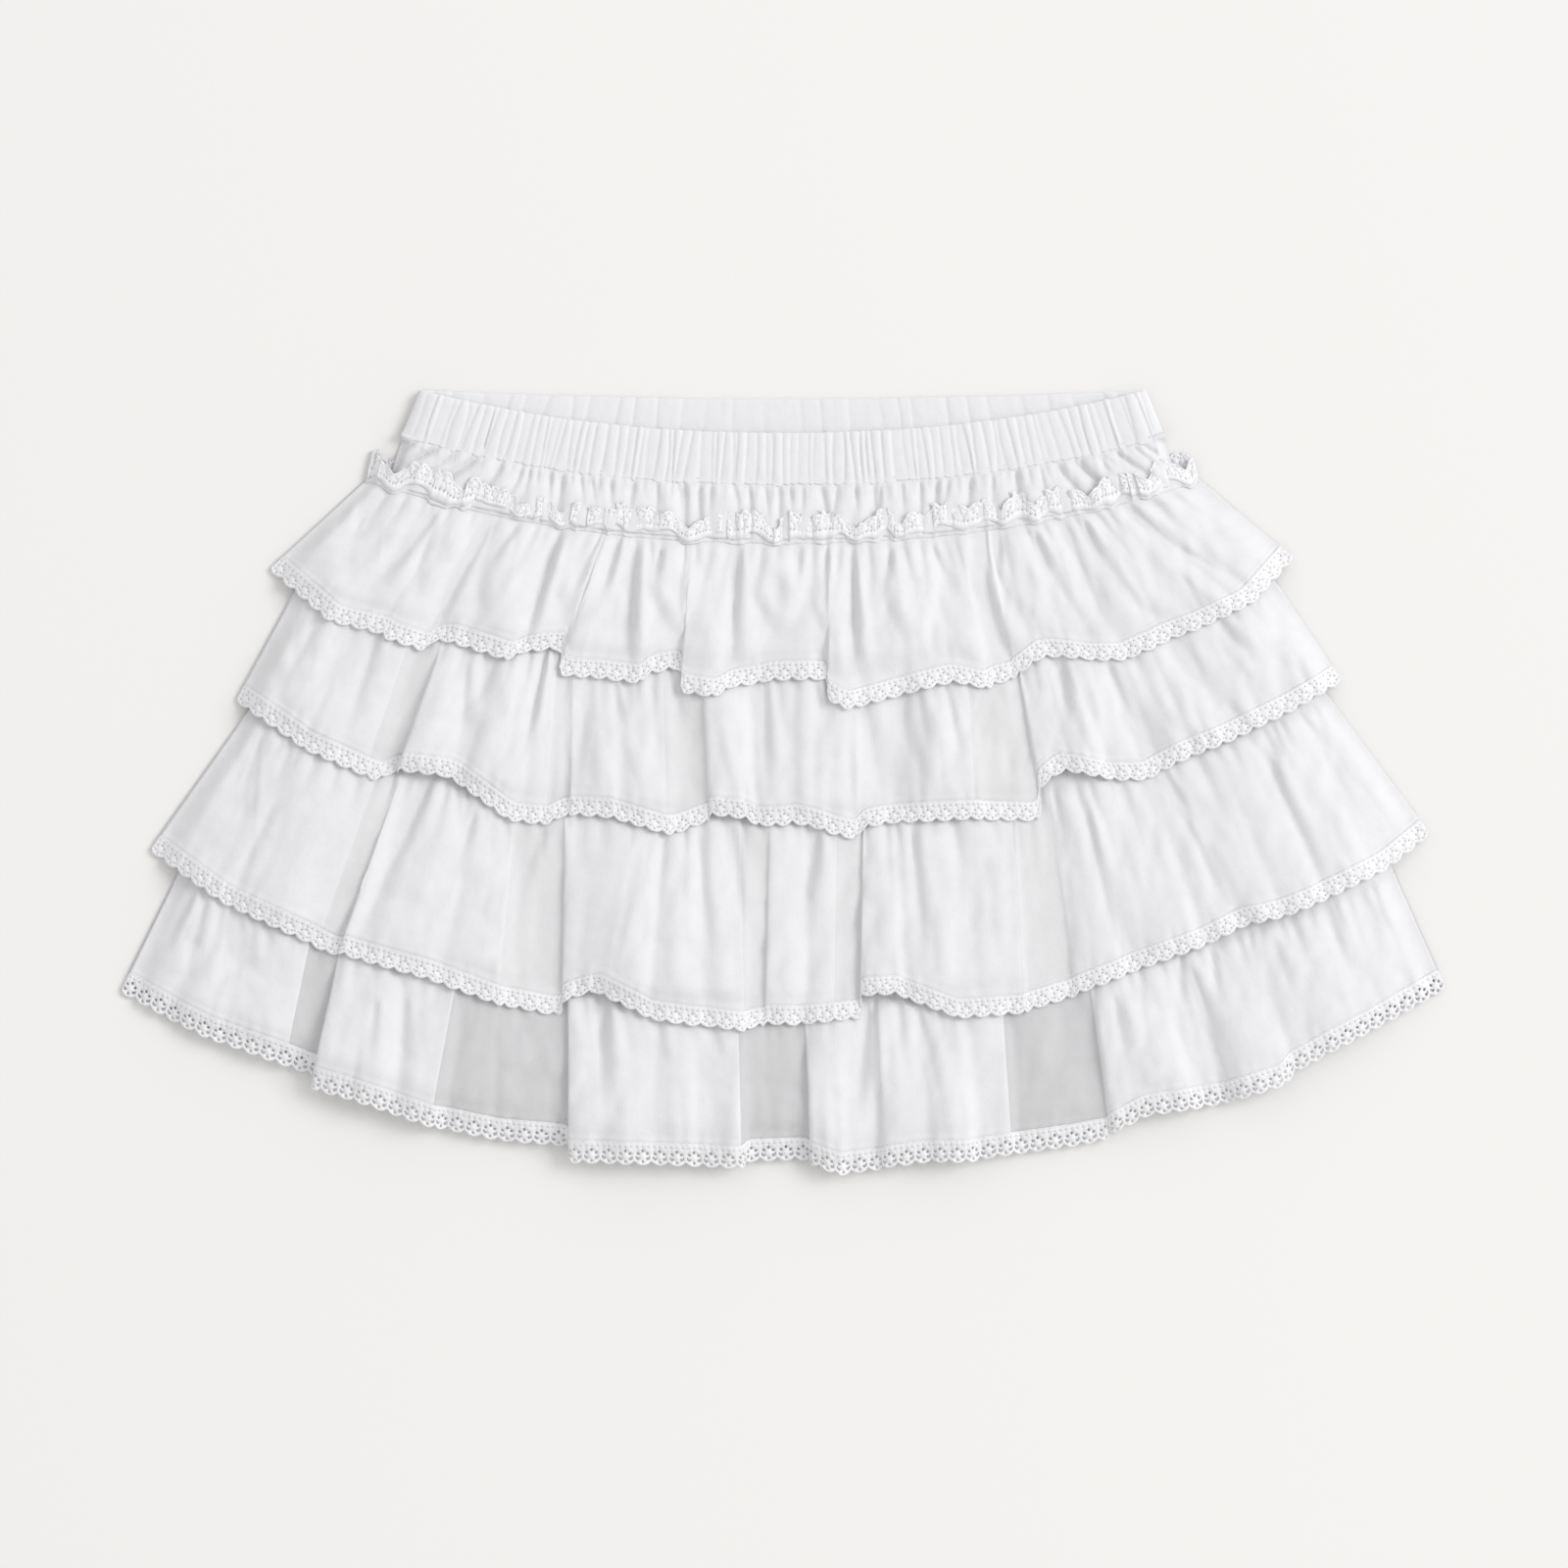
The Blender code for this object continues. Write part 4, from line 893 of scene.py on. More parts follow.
VOILE = WovenCotton("cotton_voile", "EFEEF0", "E6E6E8", cover=0.87)
# darker copies of the voile with painted shade: the first for the low folds of the middle ruffles, the second
# for those of the lowest front ruffle and all of the back's lowest; the second is also truly more see-through
SINGLE_VOILE_PAINTED_SHADE = WovenCotton("cotton_voile_single_painted_shade", "E9E9EA", "E2E1E3", cover=0.84)
SHEER_VOILE_PAINTED_SHADE = WovenCotton("cotton_voile_sheer_painted_shade", "E3E3E4", "DCDBDD", cover=0.66)
VOILE_DOUBLE = WovenCotton("cotton_voile_double", "E4E4E6", "DFDFE2", cover=1.0)
BATISTE = WovenCotton("cotton_batiste", "F0F1F2", "E9EAEC", cover=1.0)
LACE_THREAD = CottonThread("cotton_lace_thread", "E7E7E9")
SEWING_THREAD = CottonThread("cotton_sewing_thread", "EBECEE", twist=0.5)


@dataclass
class Workroom:
    """Holds the materials and turns point grids into pieces of the garment."""

    materials: dict[str, bpy.types.Material] = field(default_factory=dict)

    def material(self, finish: WovenCotton | CottonThread) -> bpy.types.Material:
        """The material of a finish, made once."""
        if finish.name not in self.materials:
            self.materials[finish.name] = finish.make()
        return self.materials[finish.name]

    def piece(self, name: str, points: Array, faces: Array, finish: WovenCotton | CottonThread,
              slot: Slot, flat: Array | None = None) -> bpy.types.Object:
        """Make a mesh piece that rides on the garment.

        Args:
            name: The object's name.
            points: Rows of x, y, z in mm.
            faces: Rows of point numbers.
            finish: What it is made of.
            slot: The record's slot that its finish stands for; not used.
            flat: Rows of flat coordinates in mm, one for each point.

        Returns:
            The object.
        """
        mesh = bpy.data.meshes.new(name)
        mesh.from_pydata((points * MM).tolist(), [], faces.tolist())
        if flat is not None:
            layer = mesh.uv_layers.new(name="flat")
            numbers = np.zeros(len(mesh.loops), np.int64)
            mesh.loops.foreach_get("vertex_index", numbers)
            layer.data.foreach_set("uv", (flat[numbers] * MM).ravel().astype(np.float32))
        mesh.materials.append(self.material(finish))
        mesh.shade_smooth()
        obj = bpy.data.objects.new(name, mesh)
        bpy.context.scene.collection.objects.link(obj)
        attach(obj, "root")
        return obj

    def cut(self, obj: bpy.types.Object, size: tuple[float, float], held: str, below: str,
            pieces: Sequence[bpy.types.Object] = (), area: float | None = None) -> bpy.types.Object:
        """State the size that a piece of cloth was cut to.

        Args:
            obj: The piece.
            size: Its width and length, mm; not used.
            held: How it lies; not used.
            below: What it lies on; not used.
            pieces: What is sewn to it; not used.
            area: Its area where the cut isn't a rectangle, square mm; not used.

        Returns:
            The piece.
        """
        return obj

    def shell(self, name: str, grid: Array, flat: Array, finish: WovenCotton, side: Side,
              slot: Slot = Slot.COTTON, keep: Array | None = None) -> bpy.types.Object:
        """Make a piece of cloth from a grid whose points are its outer face.

        Args:
            name: The object's name.
            grid: Rows down the garment, columns to the right, and x, y, z in mm.
            flat: The same grid's flat coordinates in mm.
            finish: What it is made of.
            side: The face of the garment that it belongs to.
            slot: The record's slot.
            keep: Which cells are cloth, if not all.

        Returns:
            The object.
        """
        cells = grid_cells(*grid.shape[:2])
        cells = cells.reshape(-1, 4) if keep is None else cells[keep]
        used, cells = np.unique(cells, return_inverse=True)
        obj = self.piece(name, grid.reshape(-1, 3)[used], cells.reshape(-1, 4), finish, slot,
                         flat.reshape(-1, 2)[used])
        wall = obj.modifiers.new("wall", "SOLIDIFY")
        wall.thickness = CLOTH * MM
        wall.offset = -side.up
        return obj


# ---- front ruffles ---------------------------------------------------------------
@dataclass
class HemPath:
    """The line of a front ruffle's hem, with its folds laid over as they lie.

    A fold with a high edge rolls over the cloth beside it, so the line doubles back
    there; shift is how far it stands off the place that it would have without that.
    """

    folds: tuple[Fold, ...]
    step: float = 0.25
    rounding: float = 1.2     # radius that the cloth bends round, mm
    least_rise: float = 2.0   # a step lower than this is a plain slope
    overhang: float = 0.32    # how far an edge rolls over for each mm that it is higher
    sink: float = 0.6         # steepest way down to the right, mm for each mm

    def knots(self) -> Array:
        """Corner points of the line: place, shift, y and lift."""
        found = []
        for before, fold in zip((None, *self.folds[:-1]), self.folds):
            if before is not None:
                found += self.between(before, fold)
            for q in np.linspace(0.0, 1.0, max(3, int((fold.x1 - fold.x0) / 1.5))):
                arch = 4.0 * fold.crown * q * (1.0 - q)
                found.append((mix(fold.x0, fold.x1, q), 0.0, mix(fold.y0, fold.y1, q),
                              mix(fold.lift0, fold.lift1, q) + arch))
        return np.array(found)

    def between(self, before: Fold, after: Fold) -> list[tuple[float, ...]]:
        """Corner points from one fold to the next.

        Args:
            before: The fold on the left.
            after: The fold on the right.

        Returns:
            Place, shift, y and lift of each corner.
        """
        rise = after.lift0 - before.lift1
        roll = max(0.0, rise - self.least_rise) * self.overhang
        if roll == 0.0:
            return []
        # share of the way across, of the roll and of the rise at each corner
        corners = ((0.3, 1.0, 0.05), (0.6, 0.9, 0.4), (0.8, -0.4, 0.8))
        return [(mix(before.x1, after.x0, across), roll * shift, mix(before.y1, after.y0, share),
                 mix(before.lift1, after.lift0, share)) for across, shift, share in corners]

    @cached_property
    def line(self) -> Array:
        """Evenly spaced points of the rounded line: distance, place, shift, y and lift."""
        knots = self.knots()
        real = np.stack([knots[:, 0] + knots[:, 1], knots[:, 2], knots[:, 3]], -1)
        run = distances(real)
        even = np.arange(0.0, run[-1], self.step)
        columns = [np.interp(even, run, knots[:, k]) for k in range(4)]
        columns[3] = np.maximum.accumulate(columns[3] + self.sink * even) - self.sink * even
        soft = [blur(column, self.rounding / self.step) for column in columns]
        return np.stack([even, *soft], -1)

    @cached_property
    def spread(self) -> Array:
        """Share of the columns used up along the line: more of them where it doubles back."""
        crowd = 1.0 + 2.5 * np.clip(np.abs(np.gradient(self.line[:, 2], self.step)) * 3.0, 0.0, 1.0)
        total = np.cumsum(crowd)
        return (total - total[0]) / (total[-1] - total[0])


@dataclass(eq=False)
class Ruffle:
    """A gathered strip with a turned hem and lace.

    A ruffle has a line along the lace's lower edge, with the distance along it, the
    place, the shift, y and lift, and a spread of the columns along that line.
    """

    number: int
    shop: Workroom
    side: ClassVar[Side] = Side.FRONT
    columns: int = 480
    rows: int = 36
    noise_seed: int = 40

    @cached_property
    def plan(self) -> Plan:
        """The ruffle's driving sizes."""
        return PLANS[self.number]

    @property
    def tuck(self) -> float:
        """How far the cloth goes on above the gather line, under the ruffle or frill above, mm."""
        return TUCKS[self.number - 1]

    @property
    def below(self) -> str:
        """What its hem lies on."""
        return "shorts_front_cloth" if self.number == 4 else f"ruffle_{self.number + 1}_front"

    @cached_property
    def line(self) -> Array:
        """Points of the hem line: distance, place, shift, y and lift."""
        raise NotImplementedError

    @cached_property
    def spread(self) -> Array:
        """Share of the columns used up along the line."""
        return self.line[:, 0] / self.line[-1, 0]

    def read(self, column: int, u: Array) -> Array:
        """Read a column of the line at shares u of its spread."""
        return np.interp(u, self.spread, self.line[:, column])

    def head_x(self, place: Array) -> Array:
        """Where the thread that ends at a place starts on the gather line."""
        raise NotImplementedError

    @cached_property
    def cloud(self) -> Cloud:
        """The lumps of its cloth."""
        return Cloud(self.noise_seed + self.number)

    def singles_with_painted_shade(self) -> list[tuple[float, float]]:
        """Where one layer lies alone and the voile is greyer with painted shade, from left to right; an empty
        stretch where there is none.
        """
        return [(self.plan.hem_left, self.plan.hem_right)] if self.number == 4 else [(0.0, 0.0)]

    def point(self, u: Array, t: Array, out: Array | float = 0.0) -> Array:
        """Points of the outer face.

        Args:
            u: Share of the way along the hem.
            t: Share of the way from the gather line to the lace's lower edge.
            out: Distance outside that face, mm.

        Returns:
            x, y and z in mm.
        """
        raise NotImplementedError

    def sizes(self, u: Array) -> tuple[Array, Array]:
        """Length of the threads at u, and the share of it where the cloth ends."""
        place, hem_y = self.read(1, u), self.read(3, u)
        head_x = self.head_x(place)
        length = np.hypot(place - head_x, hem_y - self.plan.seam_y(head_x))
        return length, 1.0 - self.plan.lace / length

    def place(self, run: Array, below: Array, out: Array | float = 0.0) -> Array:
        """Points by distance.

        Args:
            run: Distance along the hem, mm.
            below: Distance beyond the end of the cloth, mm.
            out: Distance outside the outer face, mm.

        Returns:
            x, y and z in mm.
        """
        u = np.interp(run, self.line[:, 0], self.spread)
        length, end = self.sizes(u)
        return self.point(u, end + below / length, out)

    def build(self) -> bpy.types.Object:
        """Make the cloth.

        Returns:
            The object, which stands for the ruffle's solid.
        """
        u = np.linspace(0.0, 1.0, self.columns)
        length, end = self.sizes(u)
        turn = HEM_TURN / length
        start = -self.tuck / length
        body = start + np.linspace(0.0, 1.0, self.rows)[:, None] * (end - turn - start)
        down, stand = np.array(HEM_ROWS).T
        t = np.concatenate([body, end - turn + down[:, None] / length])
        thick = np.concatenate([np.zeros(self.rows), stand])[:, None]
        grid = self.point(np.broadcast_to(u, t.shape), t, thick)
        flat = np.stack([np.broadcast_to(self.read(0, u), t.shape), -t * length], -1)
        obj = self.shop.shell(f"ruffle_{self.number}_{self.side.value}", grid, flat, VOILE, self.side)
        place = self.read(1, (u[1:] + u[:-1]) / 2.0)
        single_with_painted_shade = np.any([(place > left) & (place < right) for left, right in self.singles_with_painted_shade()], axis=0)
        # the greyer voile of those stretches is painted shade; on the lowest ruffle it is also more
        # see-through
        obj.data.materials.append(self.shop.material(SHEER_VOILE_PAINTED_SHADE if self.number == 4 else SINGLE_VOILE_PAINTED_SHADE))
        obj.data.polygons.foreach_set("material_index", np.tile(single_with_painted_shade, t.shape[0] - 1).astype(np.int32))
        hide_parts(f"tier_{self.number}_{self.side.value}")
        return obj


@dataclass(eq=False)
class FrontRuffle(Ruffle):
    """A ruffle of the front, which lies in folds over the one below it."""

    pitch: float = 7.0        # usual distance between two gathers at the head, mm
    depth: float = 2.0        # depth of a strong gather there, mm
    head_below: tuple[Array, Array] | None = None     # how high the next ruffle's head stands
    under: Terrain | None = None      # that ruffle, on which its hem lies
    # for each ruffle: how far its folds stand up, as a share of the solids' lift, how deep its creases
    # and puffs are, and how sharp its folds stay away from the hem
    lofts: ClassVar[tuple[float, ...]] = (0.55, 0.7, 0.8, 0.95)
    reliefs: ClassVar[tuple[float, ...]] = (1.2, 1.3, 1.4, 1.4)
    crispness: ClassVar[tuple[float, ...]] = (0.15, 0.55, 0.9, 1.0)
    hem_fall: float = 1.4     # how far the hem comes down, mm
    base: float = 1.1         # height of the cloth over its lowest underside, mm
    least: float = 0.45       # least height over that underside
    gap: float = 0.6          # least height over the ruffle below, mm
    calm_side: float = 0.02   # share of the hem, at each side, where the relief fades out,
    low_side: float = 0.03    # where the cloth comes down
    joined_side: float = 0.018    # and where it meets the back ruffle's side
    lap_y: float = 28.0       # distance up from the hem where the cloth comes to lie on the next ruffle
    softened: float = 7.0     # how far the folds' sharp edges are spread at the head, mm

    @cached_property
    def hem(self) -> HemPath:
        """The ruffle's hem, with its folds."""
        return HemPath(FOLDS[self.number])

    @cached_property
    def line(self) -> Array:
        """Points of the hem line, with a column more: the lift without sharp edges."""
        line = self.hem.line
        return np.column_stack([line, blur(line[:, 4], self.softened / self.hem.step)])

    @cached_property
    def spread(self) -> Array:
        """Share of the columns used up along the line."""
        return self.hem.spread

    def head_x(self, place: Array) -> Array:
        """Where a thread starts on the gather line."""
        return table(FAN[self.number], place)

    def singles_with_painted_shade(self, low: float = 1.9) -> list[tuple[float, float]]:
        """Where one layer lies alone and the voile is greyer with painted shade: the folds that stay low,
        from the second ruffle on.
        """
        folds = FOLDS[self.number]
        found = [(before.x1, mix(fold.x1, after.x0, 0.6))
                 for before, fold, after in zip(folds, folds[1:], folds[2:])
                 if max(fold.lift0, fold.lift1) < low]
        return found if self.number > 1 else [(0.0, 0.0)]

    @cached_property
    def gathers(self) -> Gathers:
        """The gathers at the head."""
        return Gathers.scatter(20 + self.number, (self.plan.seam_left + 3.0, self.plan.seam_right - 3.0),
                               self.pitch, self.depth, (7.0, 42.0))

    def reach_below(self, x: Array, y: Array, head_y: Array) -> Array:
        """Lowest underside that clears the head of the next ruffle, on a straight way from its own head.

        Args:
            x: Place across, mm.
            y: Place up, mm.
            head_y: Height up of the thread's start, mm.

        Returns:
            Heights, mm.
        """
        below = PLANS[self.number + 1]
        reach = np.interp(x, *self.head_below) + 0.1
        left = (below.seam_left - x) / (below.seam_left - self.plan.hem_left)
        right = (x - below.seam_right) / (self.plan.hem_right - below.seam_right)
        reach = mix(reach, LAYER, np.clip(np.maximum(left, right), 0.0, 1.0))
        way = np.clip((head_y - y) / (head_y - below.seam_y(x) + 4.0), 0.0, 1.0)
        start = ruffle_low(self.number, x, head_y, 0.0 * way)
        return mix(start, np.maximum(reach, start), (4.0 * way - way ** 4) / 3.0)

    def relief(self, x: Array, y: Array, run: Array, head_x: Array, drop: Array, t: Array) -> Array:
        """Heights of the gathers, creases, puffs and crumples.

        Args:
            x: Place across, mm.
            y: Place up, mm.
            run: Distance along the hem, mm.
            head_x: Where the thread starts on the gather line, mm across.
            drop: Distance from there, mm.
            t: Share of the way to the hem.

        Returns:
            Heights, mm.
        """
        features = (*CREASES[self.number], *PUFFS[self.number])
        relief = sum((feature.relief(x, y) for feature in features), self.gathers.relief(head_x, drop))
        cloud = self.cloud
        # long bands that run down with the threads, then facets in all directions
        bands = 1.3 * cloud.at(run, drop, 24.0, 3.6) + 0.5 * cloud.at(run + 60.0, drop, 12.0, 4.5)
        bands = bands + 0.4 * cloud.folds(run + 90.0, drop, 9.0, 4.0)
        facets = 0.6 * cloud.folds(run + 0.4 * drop, drop, 17.0)
        facets = facets + 0.25 * cloud.folds(run, drop + 0.5 * run, 7.5)
        return relief + (bands + facets) * (0.25 + 0.75 * smooth(t / 0.35))

    def settle(self, z: Array, x: Array, y: Array, stand: Array, short: Array) -> Array:
        """Lay the cloth near its hem on the ruffle below.

        Args:
            z: Heights without that, mm.
            x: Place across, mm.
            y: Place up, mm.
            stand: How far its folds stay off that ruffle there, mm.
            short: Distance up from the end of the cloth, mm.

        Returns:
            Heights, mm.
        """
        ground = self.under.at(x, y)
        past_head = smooth((PLANS[self.number + 1].seam_y(x) - y + 7.0) / 16.0)
        settled = smooth((self.lap_y - short) / (self.lap_y - 2.0)) * smooth(ground / 4.0) * past_head
        laid = np.minimum(z, ground + self.gap + stand)
        return soft_floor(mix(z, laid, settled), ground + self.gap, 3.0)

    def point(self, u: Array, t: Array, out: Array | float = 0.0) -> Array:
        """Points of the outer face."""
        run, place, shift, hem_y, sharp, soft = (self.read(k, u) for k in range(6))
        head_x = self.head_x(place)
        head_y = self.plan.seam_y(head_x)
        x, y = mix(head_x, place, t), mix(head_y, hem_y, t)
        length = np.hypot(place - head_x, hem_y - head_y)
        drop, open_t = t * length, np.clip(t, 0.0, 1.0)
        short = length - self.plan.lace - drop
        side = np.minimum(u, 1.0 - u)
        crisp = mix(self.crispness[self.number - 1], 1.0, smooth((t - 0.6) / 0.35))
        lift = mix(soft, sharp, crisp) * self.lofts[self.number - 1]
        low = ruffle_low(self.number, x, y, open_t)
        if self.head_below is not None:
            low = np.maximum(low, self.reach_below(x, y, head_y))
        grown = (1.0 - np.exp(-2.2 * open_t)) / (1.0 - np.exp(-2.2))
        relief = self.relief(x, y, run, head_x, drop, open_t)
        relief = relief + 0.35 * self.cloud.at(run, 0.0 * run, 2.6) * np.exp(-((short / 6.0) ** 2))
        relief = relief * self.reliefs[self.number - 1] * smooth(side / self.calm_side)
        falls = self.hem_fall * smooth((8.0 - short) / (8.0 + self.plan.lace))
        above = soft_floor(self.base + lift * grown + relief - falls, self.least, 4.0)
        x = x + shift * crisp * smooth(open_t / 0.6)
        z = low + above - self.base * (1.0 - smooth(side / self.low_side)) - 0.12 * np.maximum(-drop, 0.0)
        back = BackRuffle(self.number, self.shop)
        joined = back.rest + 2.0 * CLOTH + LAYER * back.lap(head_x, y)
        z = mix(joined, z, smooth(side / self.joined_side))
        if self.under is not None:
            stand = 0.05 + 0.25 * lift + 0.25 * self.cloud.at(run + 50.0, 0.0 * run, 5.0)
            z = self.settle(z, x, y, stand, short)
        return np.stack([x, y, z + out], -1)

    def terrain(self) -> Terrain:
        """The ruffle as what the next one lies on."""
        t, u = np.meshgrid(np.linspace(-0.12, 1.0, 120), np.linspace(0.0, 1.0, 1500))
        return Terrain.of(self.point(u, t).reshape(-1, 3))

    def head_edge(self, t: float = 0.0) -> tuple[Array, Array]:
        """Height of the gather line, or of a line a share t below it, as x against height."""
        return edge_curve(self.point(np.linspace(0.0, 1.0, 1200), np.full(1200, t)))

    def head_reach(self) -> tuple[Array, Array]:
        """How high the head stands, as x against height."""
        x = np.linspace(self.plan.seam_left, self.plan.seam_right, 400)
        top = np.max([np.interp(x, *self.head_edge(t)) for t in (0.0, 0.05, 0.1)], axis=0)
        wide = np.array([top[max(i - 3, 0):i + 4].max() for i in range(top.size)])
        return x, blur(wide, 4.0)


@dataclass(eq=False)
class BackRuffle(Ruffle):
    """A ruffle of the back, face down on the surface that the garment lies on."""

    side: ClassVar[Side] = Side.BACK
    tuck: ClassVar[float] = 0.0
    below: ClassVar[str] = "surface"
    columns: int = 250
    rows: int = 22
    noise_seed: int = 60
    rest: float = 0.65        # height of its outer face where it lies flat, mm
    pitch: float = 9.0        # usual distance between two gathers, mm

    @cached_property
    def line(self) -> Array:
        """Points of the hem line, with waves up from the surface."""
        s = np.linspace(-1.0, 1.0, 2400)
        x = mix(self.plan.hem_left, self.plan.hem_right, (s + 1.0) / 2.0)
        cloud = Cloud(70 + self.number)
        calm = smooth((0.97 - np.abs(s)) / 0.15)
        waves = 0.6 + 0.6 * cloud.at(x, 0.0 * x, 26.0) + 0.25 * cloud.at(x, 0.0 * x + 9.0, 11.0)
        y = self.plan.hem_back.at(s) + 1.5 * calm * cloud.at(x, 0.0 * x + 30.0, 30.0)
        lift = calm * np.clip(waves, 0.0, 1.3)
        run = np.concatenate([[0.0], np.cumsum(np.hypot(np.hypot(np.diff(x), np.diff(y)), np.diff(lift)))])
        return np.stack([run, x, 0.0 * x, y, lift], -1)

    def head_x(self, place: Array) -> Array:
        """Where a thread starts on the gather line."""
        share = (place - self.plan.hem_left) / (self.plan.hem_right - self.plan.hem_left)
        return mix(self.plan.seam_left, self.plan.seam_right, share)

    @cached_property
    def gathers(self) -> Pleats:
        """The gathers at the head."""
        return Pleats.scatter(80 + self.number, (self.plan.seam_left, self.plan.seam_right), self.pitch,
                              uneven=0.4, tilt=0.0)

    def lap(self, head_x: Array, y: Array) -> Array:
        """1 where the head lies over the hem of the ruffle above, 0 where it is clear."""
        if self.number == 1:
            return np.zeros_like(y)
        above = PLANS[self.number - 1]
        edge = above.hem_back.at(share_of(head_x, above.hem_left, above.hem_right)) - 2.0
        return smooth((y - edge + 8.0) / 8.0)

    def point(self, u: Array, t: Array, out: Array | float = 0.0) -> Array:
        """Points of the outer face, which looks down."""
        run, place, _, hem_y, lift = (self.read(k, u) for k in range(5))
        head_x = self.head_x(place)
        head_y = self.plan.seam_y(head_x)
        x, y = mix(head_x, place, t), mix(head_y, hem_y, t)
        drop = t * (head_y - hem_y)
        calm = smooth(np.minimum(u, 1.0 - u) / 0.03)
        held = mix(LAYER, BACK_LAP, calm) * self.lap(head_x, y)
        valley = (1.0 - self.gathers.ridge(head_x)) * np.exp(-np.maximum(drop, 0.0) / 22.0)
        soft = 0.35 * self.cloud.at(run, drop, 20.0, 1.6) + 0.2 * self.cloud.at(run + 90.0, drop, 9.0, 1.8)
        rise = lift * np.clip(t * 1.4, 0.0, 1.0) + calm * (0.8 * valley + 0.35 + soft)
        return np.stack([x, y, self.rest + held + np.clip(rise, 0.0, 1.7) - out], -1)


# ---- lace and thread -------------------------------------------------------------
@dataclass(frozen=True)
class LaceUnit:
    """One daisy of a narrow cotton lace, knotted on a machine, with its header and scallop.

    Its coordinates are mm across, and mm below the end of the cloth that it is sewn on.
    """

    width: float
    openness: float = 1.0     # size of the petals' holes
    pitch: float = 8.0
    lap: float = 1.2          # how much of it lies over the cloth, mm
    drawn_width: ClassVar[float] = 8.0        # width at which the sizes below are right

    @cached_property
    def holes(self) -> list[Array]:
        """Rings of points round the holes: six petals, three in the header and two between daisies."""
        size = self.width / self.drawn_width
        middle = np.array([self.pitch / 2.0, 4.65 * size])
        found = []
        for angle in np.arange(6) * np.pi / 3.0 + np.pi / 6.0:
            out = np.array([np.cos(angle), np.sin(angle)])
            found.append(self.ring(middle + 2.1 * size * out, 0.82 * size * self.openness,
                                   0.66 * size * self.openness, angle, 6))
        for share in (1.0, 3.0, 5.0):
            found.append(self.ring(np.array([share * self.pitch / 6.0, 0.95 * size]), 0.3, 0.3, 0.4, 4))
        for x in (0.95, self.pitch - 0.95):
            found.append(self.ring(np.array([x, 5.2 * size]), 0.85 * size * self.openness,
                                   0.42 * self.openness, np.pi / 2.0, 5))
        return found

    def ring(self, centre: Array, long: float, wide: float, angle: float, count: int) -> Array:
        """Points of an oval hole.

        Args:
            centre: Its centre, mm.
            long: Half its length, mm.
            wide: Half its width, mm.
            angle: Direction of its length.
            count: Number of points.

        Returns:
            The points.
        """
        turn = np.arange(count) * 2.0 * np.pi / count
        along, off = long * np.cos(turn), wide * np.sin(turn)
        way = np.array([[np.cos(angle), np.sin(angle)], [-np.sin(angle), np.cos(angle)]])
        return centre + np.stack([along, off], -1) @ way

    @cached_property
    def outline(self) -> Array:
        """Points round the unit, with picots along the scallop."""
        share = np.linspace(0.0, 1.0, 17)
        sag = 0.2 * self.width * np.abs(2.0 * share - 1.0) ** 2.6
        picot = np.where(np.arange(17) % 2, 0.3, -0.12) * np.sin(np.pi * share)
        low = np.stack([share * self.pitch, self.width - sag + picot], -1)
        heights = np.linspace(-self.lap, low[0, 1], 5)[1:-1]
        left = np.stack([0.0 * heights, heights], -1)
        top = np.stack([np.linspace(self.pitch, 0.0, 4), np.full(4, -self.lap)], -1)
        return np.concatenate([low, left[::-1] + [self.pitch, 0.0], top, left])

    @cached_property
    def mesh(self) -> tuple[Array, Array]:
        """Points and triangles."""
        loops = [self.outline, *self.holes]
        first, edges = 0, []
        for loop in loops:
            count = len(loop)
            edges += [(first + k, first + (k + 1) % count) for k in range(count)]
            first += count
        flat = [Vector(point) for point in np.concatenate(loops).tolist()]
        found = delaunay_2d_cdt(flat, edges, [], 0, 1e-5)
        points = np.array([tuple(point) for point in found[0]])
        faces = np.array([face for face in found[2] if len(face) == 3])
        centres = points[faces].mean(axis=1)
        inside = points_inside(self.outline, centres)
        for hole in self.holes:
            inside &= ~points_inside(hole, centres)
        return points, faces[inside]

    def strip(self, count: int, pitch: float) -> tuple[Array, Array]:
        """Points and triangles of several units side by side, joined.

        Args:
            count: Number of units.
            pitch: Distance from one to the next, mm.

        Returns:
            The points and the triangles.
        """
        points, faces = self.mesh
        shifts = np.arange(count)[:, None, None] * np.array([pitch, 0.0])
        spread = (points * [pitch / self.pitch, 1.0] + shifts).reshape(-1, 2)
        numbers = (faces + np.arange(count)[:, None, None] * len(points)).reshape(-1, 3)
        joined, new = np.unique(np.round(spread, 4), axis=0, return_inverse=True)
        return joined, new.reshape(-1)[numbers]


def points_inside(ring: Array, points: Array) -> Array:
    """Which points lie inside a closed ring.

    Args:
        ring: The ring's points.
        points: The points to try.

    Returns:
        True for each one inside.
    """
    x, y = points[:, :1], points[:, 1:]
    ax, ay = ring.T
    bx, by = np.roll(ring, -1, axis=0).T
    spans = (ay > y) != (by > y)
    crossing = ax + (y - ay) * (bx - ax) / np.where(by == ay, 1e-9, by - ay)
    return (spans & (x < crossing)).sum(axis=1) % 2 == 1


